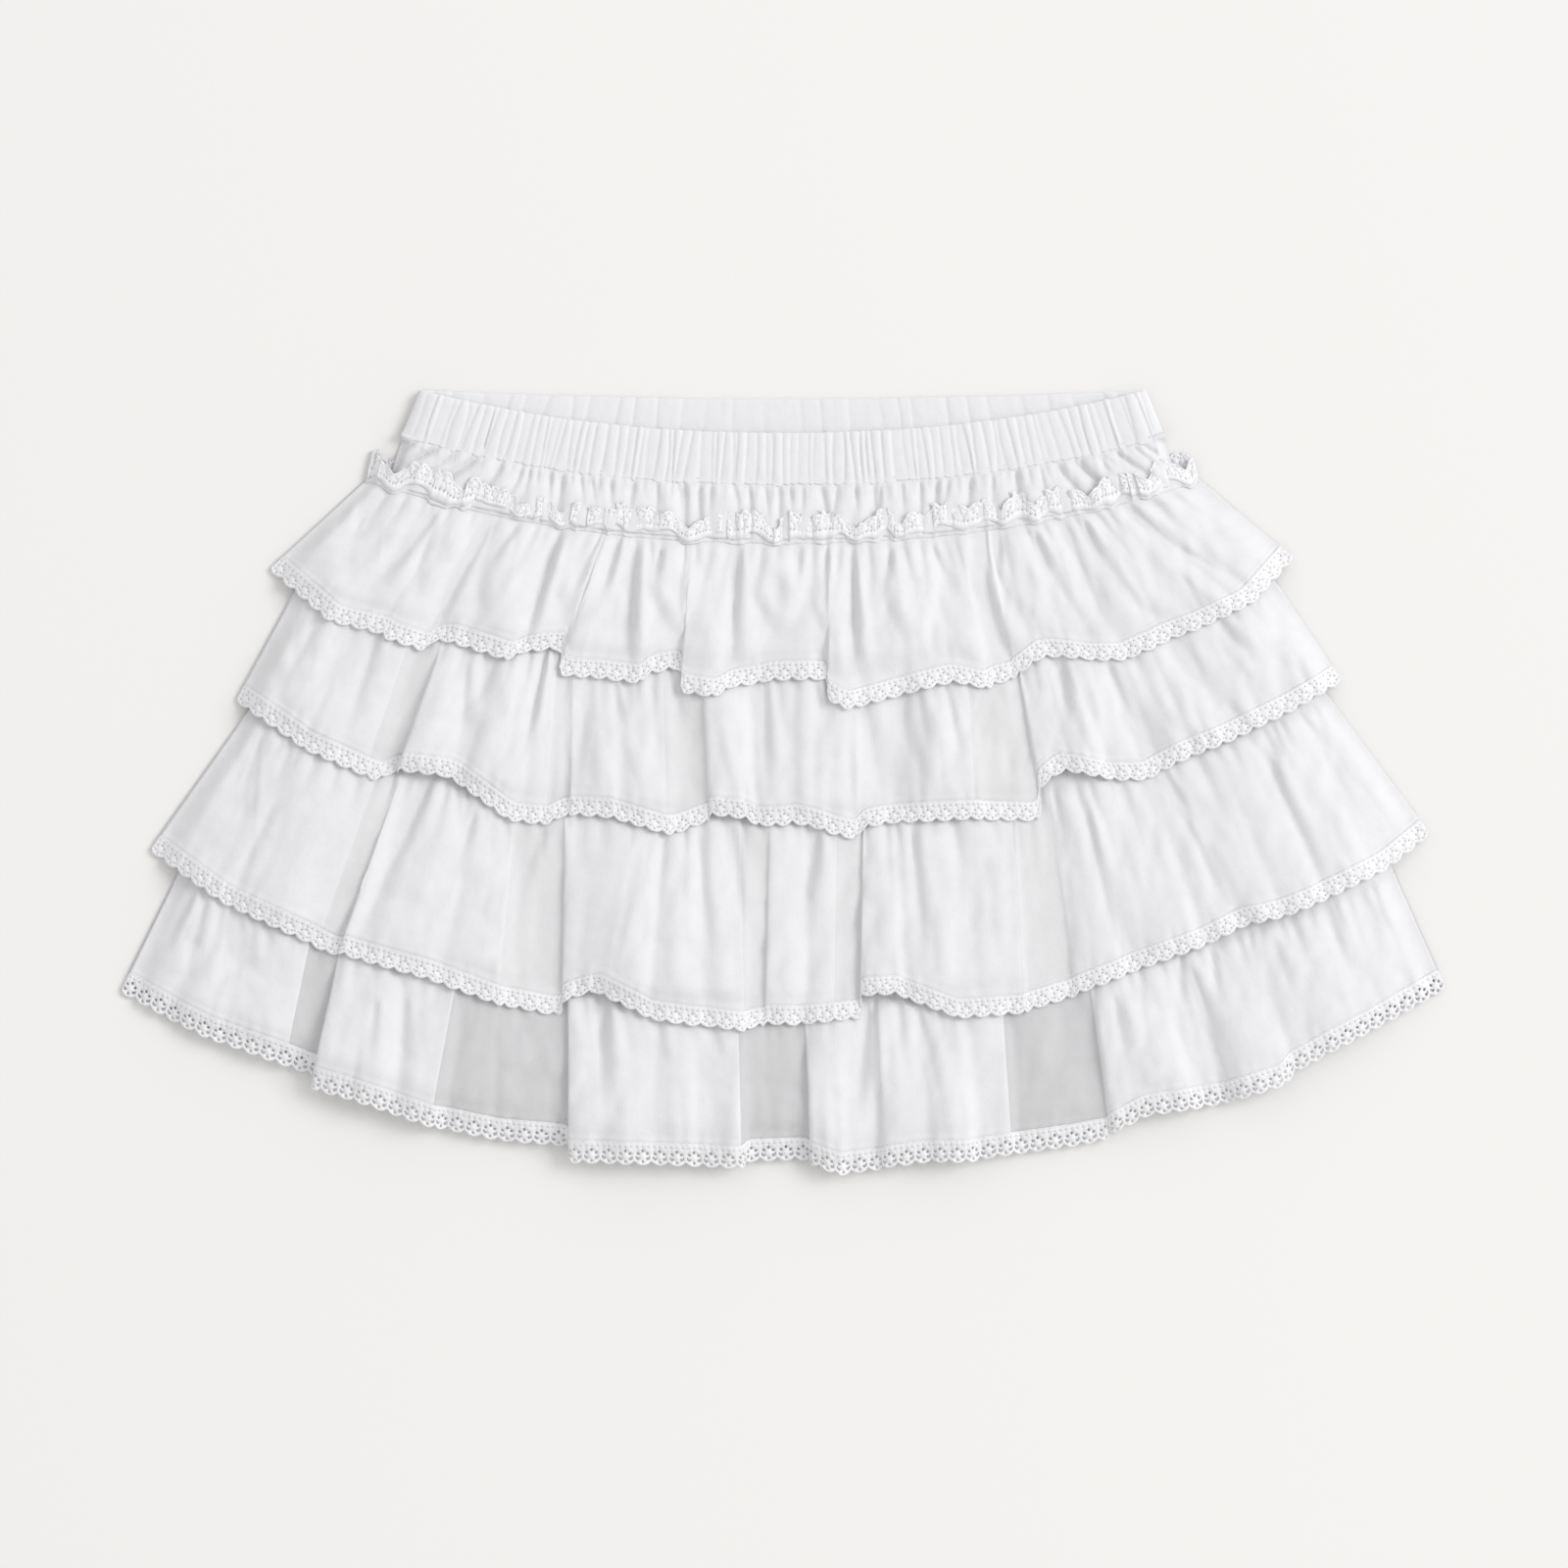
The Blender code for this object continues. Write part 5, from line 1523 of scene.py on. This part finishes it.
@dataclass
class LaceEdging:
    """Lace sewn to an edge, its header over the cloth."""

    shop: Workroom
    name: str
    width: float
    run: float                                        # length of the edge, mm
    place: Callable[[Array, Array, Array], Array]     # run, distance below the cloth and out
    openness: float = 0.42    # size of the petals' holes
    thickness: float = 0.22
    over: float = 0.32        # height of the header over the cloth, mm

    def build(self) -> bpy.types.Object:
        """Make the lace.

        Returns:
            The object.
        """
        unit = LaceUnit(self.width, self.openness)
        count = max(1, int(round(self.run / unit.pitch)))
        flat, faces = unit.strip(count, self.run / count)
        out = self.over * (1.0 - smooth((flat[:, 1] - 0.1) / 1.4))
        points = self.place(flat[:, 0], flat[:, 1], out)
        obj = self.shop.piece(self.name, points, faces, LACE_THREAD, Slot.LACE, flat)
        wall = obj.modifiers.new("wall", "SOLIDIFY")
        wall.thickness, wall.offset = self.thickness * MM, 0.0
        return obj


@dataclass
class Stitching:
    """A row of machine stitches."""

    shop: Workroom
    length: float = 2.2
    gap: float = 0.7
    wide: float = 0.35        # a real thread is 0.2 mm, too fine to show
    above: float = 0.7        # distance up from the end of the cloth
    out: float = 0.42         # distance outside the cloth, on the lace's header

    def build(self, name: str, path: Array) -> bpy.types.Object:
        """Sew along a path.

        Args:
            name: The object's name.
            path: Its points, mm.

        Returns:
            The object, which holds all the stitches.
        """
        pattern = np.array([(0, 2, 3), (0, 3, 4), (0, 4, 5), (0, 5, 2),
                            (1, 3, 2), (1, 4, 3), (1, 5, 4), (1, 2, 5)])
        run = distances(path)
        start = np.arange(0.5, run[-1] - self.length - 0.5, self.length + self.gap)
        a, b = (np.stack([np.interp(start + more, run, path[:, k]) for k in range(3)], -1)
                for more in (0.0, self.length))
        way = (b - a) / np.linalg.norm(b - a, axis=1)[:, None]
        aside = np.cross(way, [0.0, 0.0, 1.0]) * self.wide / 2.0
        up = np.cross(aside, way)
        middle = (a + b) / 2.0
        stitch = np.stack([a, b, middle + aside, middle + up, middle - aside, middle - up], 1)
        faces = (pattern + 6 * np.arange(len(start))[:, None, None]).reshape(-1, 3)
        return self.shop.piece(name, stitch.reshape(-1, 3), faces, SEWING_THREAD, Slot.COTTON)


# ---- waistband -------------------------------------------------------------------
@dataclass
class Waistband:
    """Half of the casing: cloth folded over a wide elastic, which pleats it."""

    shop: Workroom
    side: Side
    pleats: Pleats            # of its upper face; the lower one lies flat
    depth: float              # of those, mm
    columns: int = 640
    thick: float = 2.1

    def section(self) -> Array:
        """The loop round the casing: share of the way down from its top, and side from -1 to 1."""
        face = [0.03, 0.06, 0.11, 0.18, 0.28, 0.4, 0.52, 0.64, 0.75, 0.84, 0.91, 0.96, 1.0]
        upper = [(share, 1.0) for share in reversed(face)]
        roll = [(0.012, 0.86), (0.003, 0.5), (0.0, 0.0), (0.003, -0.5), (0.012, -0.86)]
        return np.array([*upper, *roll, *((share, -1.0) for share in face)])

    def build(self) -> bpy.types.Object:
        """Make the casing.

        Returns:
            The object.
        """
        share, side = self.section().T[:, :, None]
        s = np.linspace(-1.0, 1.0, self.columns)[None, :]
        x = mix(*BAND_HALF, share) * s
        small = [Gathers.scatter(seed, (-BAND_HALF[1], BAND_HALF[1]), pitch, 0.55, (3.0, 10.0), 0.03)
                 for seed, pitch in ((7, 4.2), (8, 5.5))]
        extra = small[0].relief(x, BAND_TALL * (1.0 - share)) + 0.6 * small[1].relief(x, BAND_TALL * share)
        ridges = self.pleats.relief(x, share[:, 0]) * self.depth + 0.7 * extra
        ridges = np.where(side > 0.0, ridges, 0.0)
        top, low = BAND_TOP[self.side].at(s), BAND_LOW[self.side].at(s)
        wave = self.pleats.ridge(x[0] * BAND_HALF[0] / BAND_HALF[1])
        y = mix(top + 0.5 * (wave - 0.5), low + 1.9 * (0.5 - self.pleats.ridge(x[0], 1.0)), share)
        pinch = smooth((share - 0.8) / 0.2)
        middle = mix(BAND_FLOOR[self.side] + self.thick / 2.0, BAND_SEAM[self.side], pinch)
        half = self.thick / 2.0 * (1.0 - 0.15 * (2.0 * share - 1.0) ** 4) * (1.0 - 0.75 * pinch)
        held = mix(0.35, 1.0, smooth(share / 0.08)) * mix(1.0, 0.55, pinch)
        ends = np.sqrt(np.clip(1.0 - np.abs(s) ** 60, 0.0, 1.0))      # both faces meet at the sides
        z = middle + side * (half + ridges * held) * ends
        if self.side is Side.FRONT:
            z = z - 0.9 * smooth((np.abs(s) - 0.95) / 0.05)
        z = np.maximum(z, 0.02)
        grid = np.stack(np.broadcast_arrays(x, y, z), -1)
        rows, columns = grid.shape[:2]
        cells = grid_cells(rows + 1, columns)[..., [0, 3, 2, 1]].reshape(-1, 4) % (rows * columns)
        run = np.concatenate([[0.0], np.cumsum(np.abs(np.diff(share[:, 0])) * BAND_TALL + 0.3)])
        flat = np.stack(np.broadcast_arrays(x[:1] * 1.35, -run[:, None]), -1)
        body = self.shop.piece(f"waistband_{self.side.value}_cloth", grid.reshape(-1, 3), cells,
                               VOILE_DOUBLE, Slot.COTTON, flat.reshape(-1, 2))
        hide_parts(f"waistband_{self.side.value}")
        below = "surface" if self.side is Side.BACK else "waistband_back_cloth"
        return self.shop.cut(body, BAND_CUT, "gathered", below)


# ---- yoke, base and shorts -------------------------------------------------------
def band_y(side: Side, x: Array) -> Array:
    """Height of the waistband's lower edge at x."""
    return BAND_LOW[side].at(np.clip(x / BAND_HALF[1], -1.0, 1.0)) - 0.3


@dataclass
class Yoke:
    """Half of the hip strip, gathered where the waistband holds it."""

    shop: Workroom
    side: Side
    depth: float                      # of a strong gather, mm
    pleats: Pleats                    # of the waistband, which go on into the strip
    foot: tuple[Array, Array]         # x against height of the seam that it ends under
    columns: int = 460
    rows: int = 20

    def build(self) -> bpy.types.Object:
        """Make the strip.

        Returns:
            The object.
        """
        share = np.concatenate([[-0.12, -0.04], np.linspace(0.0, 1.0, self.rows)])[:, None]
        s = np.linspace(-1.0, 1.0, self.columns)[None, :]
        x = mix(BAND_HALF[1], YOKE_HALF, np.clip(share, 0.0, 1.0)) * s
        y = mix(band_y(self.side, x), PLANS[1].seam_y(x) + 2.0, share)
        back = self.side is Side.BACK
        span = (-BAND_HALF[1], BAND_HALF[1])
        tall = band_y(self.side, x) - PLANS[1].seam_y(x)
        spread = x * (1.0 - 0.16 * share * smooth((np.abs(s) - 0.55) / 0.4))
        small = Gathers.scatter(15, span, 4.6, 0.5 * self.depth, (4.0, 16.0), 0.12, 0.3, 0.6)
        wedges = Gathers.scatter(16, span, 7.4, self.depth, (16.0, 40.0), 0.1, 0.3, 0.62)
        ridge = self.pleats.ridge(BAND_HALF[1] * s[0], 1.0)
        relief = small.relief(spread, 3.0 + tall * share) + wedges.relief(spread, 3.0 + tall * share)
        relief = relief + 0.9 * (ridge - 0.5) * np.exp(-((tall * share / 6.0) ** 2))
        relief = relief + 0.35 * Cloud(31 if back else 30).folds(x, y, 7.0, 1.5)
        relief = relief * mix(0.6, 1.0, smooth(share / 0.2)) + 0.35 * self.depth
        face = panel_face(self.side, x, y)
        if not back:
            foot = np.interp(x, *self.foot) - 0.4
            face = mix(face, np.maximum(face, foot), smooth((share - 0.1) / 0.7))
        joined = back_panel_low(x, y) + (0.0 if back else 2.0 * CLOTH)
        z = mix(face + self.side.up * relief, joined, smooth((np.abs(s) - 0.972) / 0.024))
        z = mix(z, YOKE_SEAM[self.side] + 0.4 * (ridge - 0.5), 1.0 - smooth((share + 0.03) / 0.09))
        z = np.maximum(z, CLOTH)
        flat = np.stack(np.broadcast_arrays(s * YOKE_CUT[0] / 2.0, -share * YOKE_TALL), -1)
        grid = np.stack(np.broadcast_arrays(x, y, z), -1)
        obj = self.shop.shell(f"yoke_{self.side.value}_cloth", grid, flat, VOILE, self.side)
        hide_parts(f"yoke_{self.side.value}")
        return self.shop.cut(obj, YOKE_CUT, "gathered", "surface" if back else "shorts_front_cloth")


def refine(rows: Array, count: int) -> Array:
    """Rows between rows.

    Args:
        rows: Values whose first axis runs over the rows.
        count: How many rows to make.

    Returns:
        That many rows, evenly spread over the old ones.
    """
    at = np.linspace(0.0, len(rows) - 1.0, count)
    low = np.minimum(at.astype(int), len(rows) - 2)
    part = (at - low).reshape(-1, *([1] * (rows.ndim - 1)))
    return mix(rows[low], rows[low + 1], part)


@dataclass
class BasePanel:
    """Half of the plain panel that carries the lower ruffles, out of sight."""

    shop: Workroom
    side: Side

    def build(self) -> bpy.types.Object:
        """Make the panel.

        Returns:
            The object.
        """
        share = np.linspace(0.0, 1.0, 26)[:, None]
        s = np.linspace(-1.0, 1.0, 71)[None, :]
        first, last = PLANS[1], PLANS[4]
        end_y = mix(first.seam_y(first.seam_right) + 3.7, last.seam_y(last.seam_right) - 3.0, share)
        x = table(BASE_HALF, end_y) * s
        y = mix(first.seam_y(x) + 3.7, last.seam_y(x) - 3.0, share)
        crumple = 0.25 * Cloud(33).at(x, y, 18.0, 1.4)
        z = panel_face(self.side, x, y) - self.side.up * (crumple + 0.25)
        obj = self.shop.shell(f"base_{self.side.value}_cloth", np.stack([x, y, z], -1), np.stack([x, y], -1),
                              BATISTE, self.side)
        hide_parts(f"base_{self.side.value}")
        below = "ruffle_1_back" if self.side is Side.BACK else "shorts_front_cloth"
        return self.shop.cut(obj, BASE_CUT, "laid", below, area=BASE_AREA)


@dataclass
class InnerShorts:
    """Half of the shorts under the ruffles, with two legs and hems turned up."""

    shop: Workroom
    side: Side

    def row(self, end_y: float, heights: Callable[[Array], Array], s: Array) -> tuple[Array, Array]:
        """One row of points across both legs.

        Args:
            end_y: Height at which the half width is read.
            heights: Gives y for each x.
            s: Places from -1 to 1.

        Returns:
            x and y.
        """
        x = float(table(SHORTS_HALF, end_y)) * s
        middle = s.size // 2
        x[middle - 1], x[middle] = -CROTCH_HALF, CROTCH_HALF
        return x, heights(x)

    def build(self) -> bpy.types.Object:
        """Make the cloth of both legs.

        Returns:
            The object.
        """
        half = np.linspace(0.0, 1.0, 25)[1:]
        s = np.concatenate([-half[::-1], [-0.01, 0.01], half])
        crotch = CROTCH_Y + 12.0 * np.abs(s)
        hem = SHORTS_HEM[0] + SHORTS_HEM[1] * np.abs(s)       # lower between the legs than at the sides
        seam = PLANS[1].seam_y
        rows = [self.row(SHORTS_TOP, lambda x: band_y(self.side, x) + 2.0, s)]
        for up in (21.0, 12.0, 0.0, -12.0, -YOKE_DROP):
            rows.append(self.row(
                SEAM_LEVEL + up, lambda x: np.minimum(seam(x) + up, band_y(self.side, x) - 1.5), s))
        rows.append(self.row(HIP_LEVEL, lambda x: mix(seam(x) - YOKE_DROP, crotch, 0.55), s))
        rows.append(self.row(CROTCH_Y, lambda x: crotch, s))
        rows.append(self.row(SHORTS_LOW, lambda x: hem, s))
        coarse = np.array([np.stack(pair, -1) for pair in rows])
        upper = refine(coarse[:-1], 36)
        steps = np.array([0.3, 0.6, 0.78, 0.785, 1.0])[:, None, None]
        grid = np.concatenate([upper, mix(coarse[-2], coarse[-1], steps)])
        x, y = grid[..., 0], grid[..., 1]
        back = self.side is Side.BACK
        hemmed = np.where(np.arange(len(grid)) >= len(grid) - 2, 0.3, 0.0)[:, None]
        out = 0.25 * Cloud(34 if back else 35).at(x, y, 16.0, 1.5) - 0.25 + hemmed
        tuck = smooth((y - band_y(self.side, x) + 3.0) / 4.0)
        z = mix(shorts_face(self.side, x, y) + self.side.up * out, SHORTS_SEAM[self.side], tuck)
        keep = np.ones((x.shape[0] - 1, x.shape[1] - 1), bool)
        keep[len(upper) - 1:, s.size // 2 - 1] = False        # the gap between the legs
        obj = self.shop.shell(f"shorts_{self.side.value}_cloth", np.stack([x, y, z], -1), grid, BATISTE,
                              self.side, Slot.SHORTS, keep)
        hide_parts(f"shorts_{self.side.value}")
        below = "base_back_cloth" if back else "shorts_back_cloth"
        return self.shop.cut(obj, SHORTS_CUT, "laid", below, area=SHORTS_AREA)


# ---- the frill -------------------------------------------------------------------
@dataclass
class Frill:
    """The heading above the first gather line: more cloth than room, so it stands in loops."""

    shop: Workroom
    side: Side
    span: tuple[float, float]
    edge: tuple[Array, Array]         # x against height of the gather line
    wave: float = 19.0                # cloth in one loop, mm
    cloth: float = 6.0                # height of the cloth, mm
    lace: float = 8.0                 # width of the lace above it, mm
    step: float = 0.25
    rise: float = 0.6                 # height of its middle over the gather line, mm

    @cached_property
    def line(self) -> Array:
        """The free edge: distance, place on the gather line, shift along it and height."""
        rng = np.random.default_rng(12 if self.side is Side.FRONT else 13)
        turns, swings, total = [], [], 0.0
        while total < self.span[1] - self.span[0]:
            cloth, swing = self.wave * rng.uniform(0.6, 1.5), rng.uniform(1.0, 1.9)
            count = int(cloth / self.step)
            turns.append(np.arange(count) * 2.0 * np.pi / count)
            swings.append(np.full(count, swing))
            total += np.cos(swing * np.sin(turns[-1])).sum() * self.step
        turn = np.concatenate(turns)
        angle = blur(np.concatenate(swings), 8.0) * np.sin(turn)
        x, height = np.cumsum(np.cos(angle)) * self.step, np.cumsum(np.sin(angle)) * self.step
        height = height - np.linspace(height[0], height[-1], height.size)
        scale = (self.span[1] - self.span[0]) / x[-1]
        run = np.arange(x.size) * self.step
        place = self.span[0] + run / run[-1] * (self.span[1] - self.span[0])
        soft = blur(self.span[0] + x * scale - place, 60.0)
        return np.stack([run, place + soft, self.span[0] + x * scale - place - soft, height], -1)

    def place(self, run: Array, beyond: Array, out: Array | float = 0.0) -> Array:
        """Points of the frill.

        Args:
            run: Distance along the free edge, mm.
            beyond: Distance beyond the end of the cloth, away from the gather line, mm.
            out: Distance outside the outer face, mm.

        Returns:
            x, y and z in mm.
        """
        place, shift, height = (np.interp(run, self.line[:, 0], self.line[:, k]) for k in (1, 2, 3))
        full = self.cloth + self.lace
        share = (self.cloth + beyond) / full
        seam = PLANS[1].seam_y(place)
        slope = (PLANS[1].seam_y(place + 1.0) - PLANS[1].seam_y(place - 1.0)) / 2.0
        tall = 1.0 / np.sqrt(1.0 + slope ** 2)
        cloud = Cloud(50)
        near = np.clip(share, 0.0, 1.0)
        roll = np.clip(0.1 + 0.32 * cloud.at(run, 0.0 * run + 5.0, 9.0), 0.0, 0.36)
        far = full * (1.0 + 0.2 * cloud.at(run, 0.0 * run, 13.0))
        edge = np.interp(place, *self.edge)
        if self.side is Side.FRONT:
            droop = np.clip(sum(np.exp(-(((place - at) / 4.0) ** 2)) for at in DROOPS), 0.0, 1.0)
            far, roll = far * (1.0 - 0.45 * droop), roll + 0.2 * droop
            rise = self.rise + 0.15 * height * np.sqrt(near) + 0.9 * droop
            rise = rise + 0.7 * cloud.folds(run, 12.0 * share, 6.0)
            # the cloth leaves the gather line steeply and is level from near the middle on
            begun = np.sin(np.pi / 2.0 * np.clip((share - 0.03) / 0.4, 0.0, 1.0))
            z = edge + np.maximum(rise, 0.4) * begun + out
        else:
            z = np.clip(edge - (0.3 + 0.1 * height) * share - out, 0.25, 1.6)
        # it starts down over the gather line before it turns up
        up = tall * far * (share - roll * np.sin(np.pi * np.clip(share / 0.55, 0.0, 1.0)))
        return np.stack([place + shift * np.sqrt(near) - slope * up, seam + up, z], -1)

    def build(self) -> tuple[bpy.types.Object, bpy.types.Object]:
        """Make the frill.

        Returns:
            The cloth and the lace.
        """
        run = np.linspace(0.0, self.line[-1, 0], 460)[None, :]
        beyond = np.linspace(0.0, -self.cloth, 7)[:, None]
        run, beyond = np.broadcast_arrays(run, beyond)
        cloth = self.shop.shell(f"frill_{self.side.value}", self.place(run, beyond),
                                np.stack([run, beyond], -1), VOILE, self.side)
        lace = LaceEdging(self.shop, f"frill_lace_{self.side.value}", self.lace, self.line[-1, 0],
                          self.place, openness=0.36).build()
        return cloth, lace


# ---- the studio ------------------------------------------------------------------
@dataclass
class Studio:
    """A plain pale floor, one large soft light far to the right, bright air, and the camera above."""

    picture_width: float = 0.72       # metres across the picture, at the height of the cloth
    cloth_height: float = 0.008
    centre: tuple[float, float] = (0.00045, -0.000675)
    lens: float = 135.0
    sensor: float = 36.0
    floor_colour: str = "EAE9E7"
    key_at: tuple[float, float, float] = (7.0, 2.6, 5.9)      # metres
    key_size: float = 4.6
    key_power: float = 470.0
    air: float = 0.79                 # strength of the light from all round

    def camera(self) -> None:
        """Place the camera at the photograph's angle."""
        data = bpy.data.cameras.new("camera")
        data.lens, data.sensor_width = self.lens, self.sensor
        data.clip_end = 20.0
        cam = bpy.data.objects.new("camera", data)
        cam.location = (*self.centre, self.picture_width * self.lens / self.sensor + self.cloth_height)
        bpy.context.scene.collection.objects.link(cam)
        bpy.context.scene.camera = cam

    def light(self) -> None:
        """Add the square soft light, which faces the garment."""
        data = bpy.data.lights.new("key_softbox", "AREA")
        data.shape, data.size, data.energy = "SQUARE", self.key_size, self.key_power
        lamp = bpy.data.objects.new("key_softbox", data)
        lamp.location = self.key_at
        lamp.rotation_euler = (-Vector(self.key_at)).to_track_quat("-Z", "Y").to_euler()
        bpy.context.scene.collection.objects.link(lamp)

    def floor(self) -> None:
        """Add the floor."""
        made = bpy.data.materials.new("studio_floor")
        made.use_nodes = True
        shader = made.node_tree.nodes["Principled BSDF"]
        shader.inputs["Base Color"].default_value = linear(self.floor_colour)
        shader.inputs["Roughness"].default_value = 1.0
        shader.inputs["Specular IOR Level"].default_value = 0.0
        bpy.ops.mesh.primitive_plane_add(size=12.0, location=(0.0, 0.0, -0.0002))
        floor = bpy.context.object
        floor.name = "studio_floor"
        floor.data.materials.append(made)

    def build(self) -> None:
        """Set everything up."""
        self.camera()
        self.floor()
        self.light()
        world = bpy.data.worlds.new("studio_air")
        world.use_nodes = True
        sky = world.node_tree.nodes["Background"]
        sky.inputs["Color"].default_value = (1.0, 1.0, 1.0, 1.0)
        sky.inputs["Strength"].default_value = self.air
        bpy.context.scene.world = world
        bpy.context.scene.view_settings.view_transform = "Standard"


@dataclass
class Skort:
    """The whole garment, built from the inside out."""

    shop: Workroom
    back_edge: tuple[Array, Array] = (np.array([-200.0, 200.0]), np.array([1.1, 1.1]))    # x against height

    def inside(self) -> None:
        """Make the shorts and the panel that carries the ruffles."""
        for side in (Side.BACK, Side.FRONT):
            InnerShorts(self.shop, side).build()
            BasePanel(self.shop, side).build()

    def band_pleats(self, seed: int, pitch: float = 3.75, uneven: float = 0.45,
                    roundness: float = 3.0) -> Pleats:
        """The pleats that the elastic makes in a face of the waistband.

        Args:
            seed: For the random values.
            pitch: Usual distance between two, mm.
            uneven: How much that distance varies, as a share of it.
            roundness: Power of the ridges' curve.

        Returns:
            The pleats.
        """
        fan = BAND_HALF[1] / BAND_HALF[0]
        return Pleats.scatter(seed, (-BAND_HALF[0], BAND_HALF[0]), pitch, uneven, 1.1, fan, roundness)

    def top(self) -> None:
        """Make the waistband."""
        Waistband(self.shop, Side.BACK, self.band_pleats(3, 11.0, 0.5, 3.6), depth=0.5).build()
        Waistband(self.shop, Side.FRONT, self.band_pleats(1), depth=0.8).build()

    def ruffles(self) -> None:
        """Make the ruffles of both sides with their lace and stitches, the yoke and the frill."""
        sewing = Stitching(self.shop)
        reach = ground = None
        pieces = [BackRuffle(number, self.shop) for number in PLANS]
        for number in (4, 3, 2, 1):
            pieces.append(FrontRuffle(number, self.shop, head_below=reach, under=ground))
            reach, ground = pieces[-1].head_reach(), pieces[-1].terrain()
        front_edge = pieces[-1].head_edge()
        more = {pieces[-1]: self.frill(Side.FRONT, front_edge),
                pieces[0]: self.frill(Side.BACK, self.back_edge)}
        for ruffle in pieces:
            cloth = ruffle.build()
            label = f"{ruffle.number}_{ruffle.side.value}"
            run = ruffle.line[-1, 0]
            lace = LaceEdging(self.shop, f"edging_{label}", ruffle.plan.lace, run, ruffle.place,
                              openness=0.85 if ruffle.number == 4 else 0.42).build()
            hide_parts(f"lace_{label}")
            along = np.arange(1.0, run - 1.0, 0.5)
            line = ruffle.place(along, 0.0 * along - sewing.above, sewing.out)
            stitches = sewing.build(f"stitches_{label}", line)
            length, end = ruffle.sizes(np.linspace(0.0, 1.0, 200))
            deep = float((length * end).mean()) + HEM_TURN + ruffle.tuck
            sewn = [lace, stitches, *more.get(ruffle, ())]
            self.shop.cut(cloth, (run, deep), "gathered", ruffle.below, sewn)
            log.info("%s: %d faces, cut %.0f by %.0f mm", cloth.name, len(cloth.data.polygons), run, deep)
        Yoke(self.shop, Side.BACK, 0.8, self.band_pleats(2), self.back_edge).build()
        Yoke(self.shop, Side.FRONT, 3.2, self.band_pleats(1), front_edge).build()

    def frill(self, side: Side, edge: tuple[Array, Array]) -> list[bpy.types.Object]:
        """Make the heading of the first ruffle.

        Args:
            side: The face of the garment.
            edge: x against height of the gather line.

        Returns:
            Its cloth and its lace.
        """
        span = (PLANS[1].seam_left + 0.6, PLANS[1].seam_right - 0.6)
        return list(Frill(self.shop, side, span, edge).build())


def main() -> None:
    """Build the garment, then the studio."""
    logging.basicConfig(level=logging.INFO, format="%(name)s: %(message)s")
    skort = Skort(Workroom())
    skort.inside()
    skort.top()
    skort.ruffles()
    Studio().build()
    faces = sum(len(obj.data.polygons) for obj in bpy.data.objects if obj.type == "MESH")
    log.info("%d faces before their walls", faces)


if __name__ == "__main__":
    main()
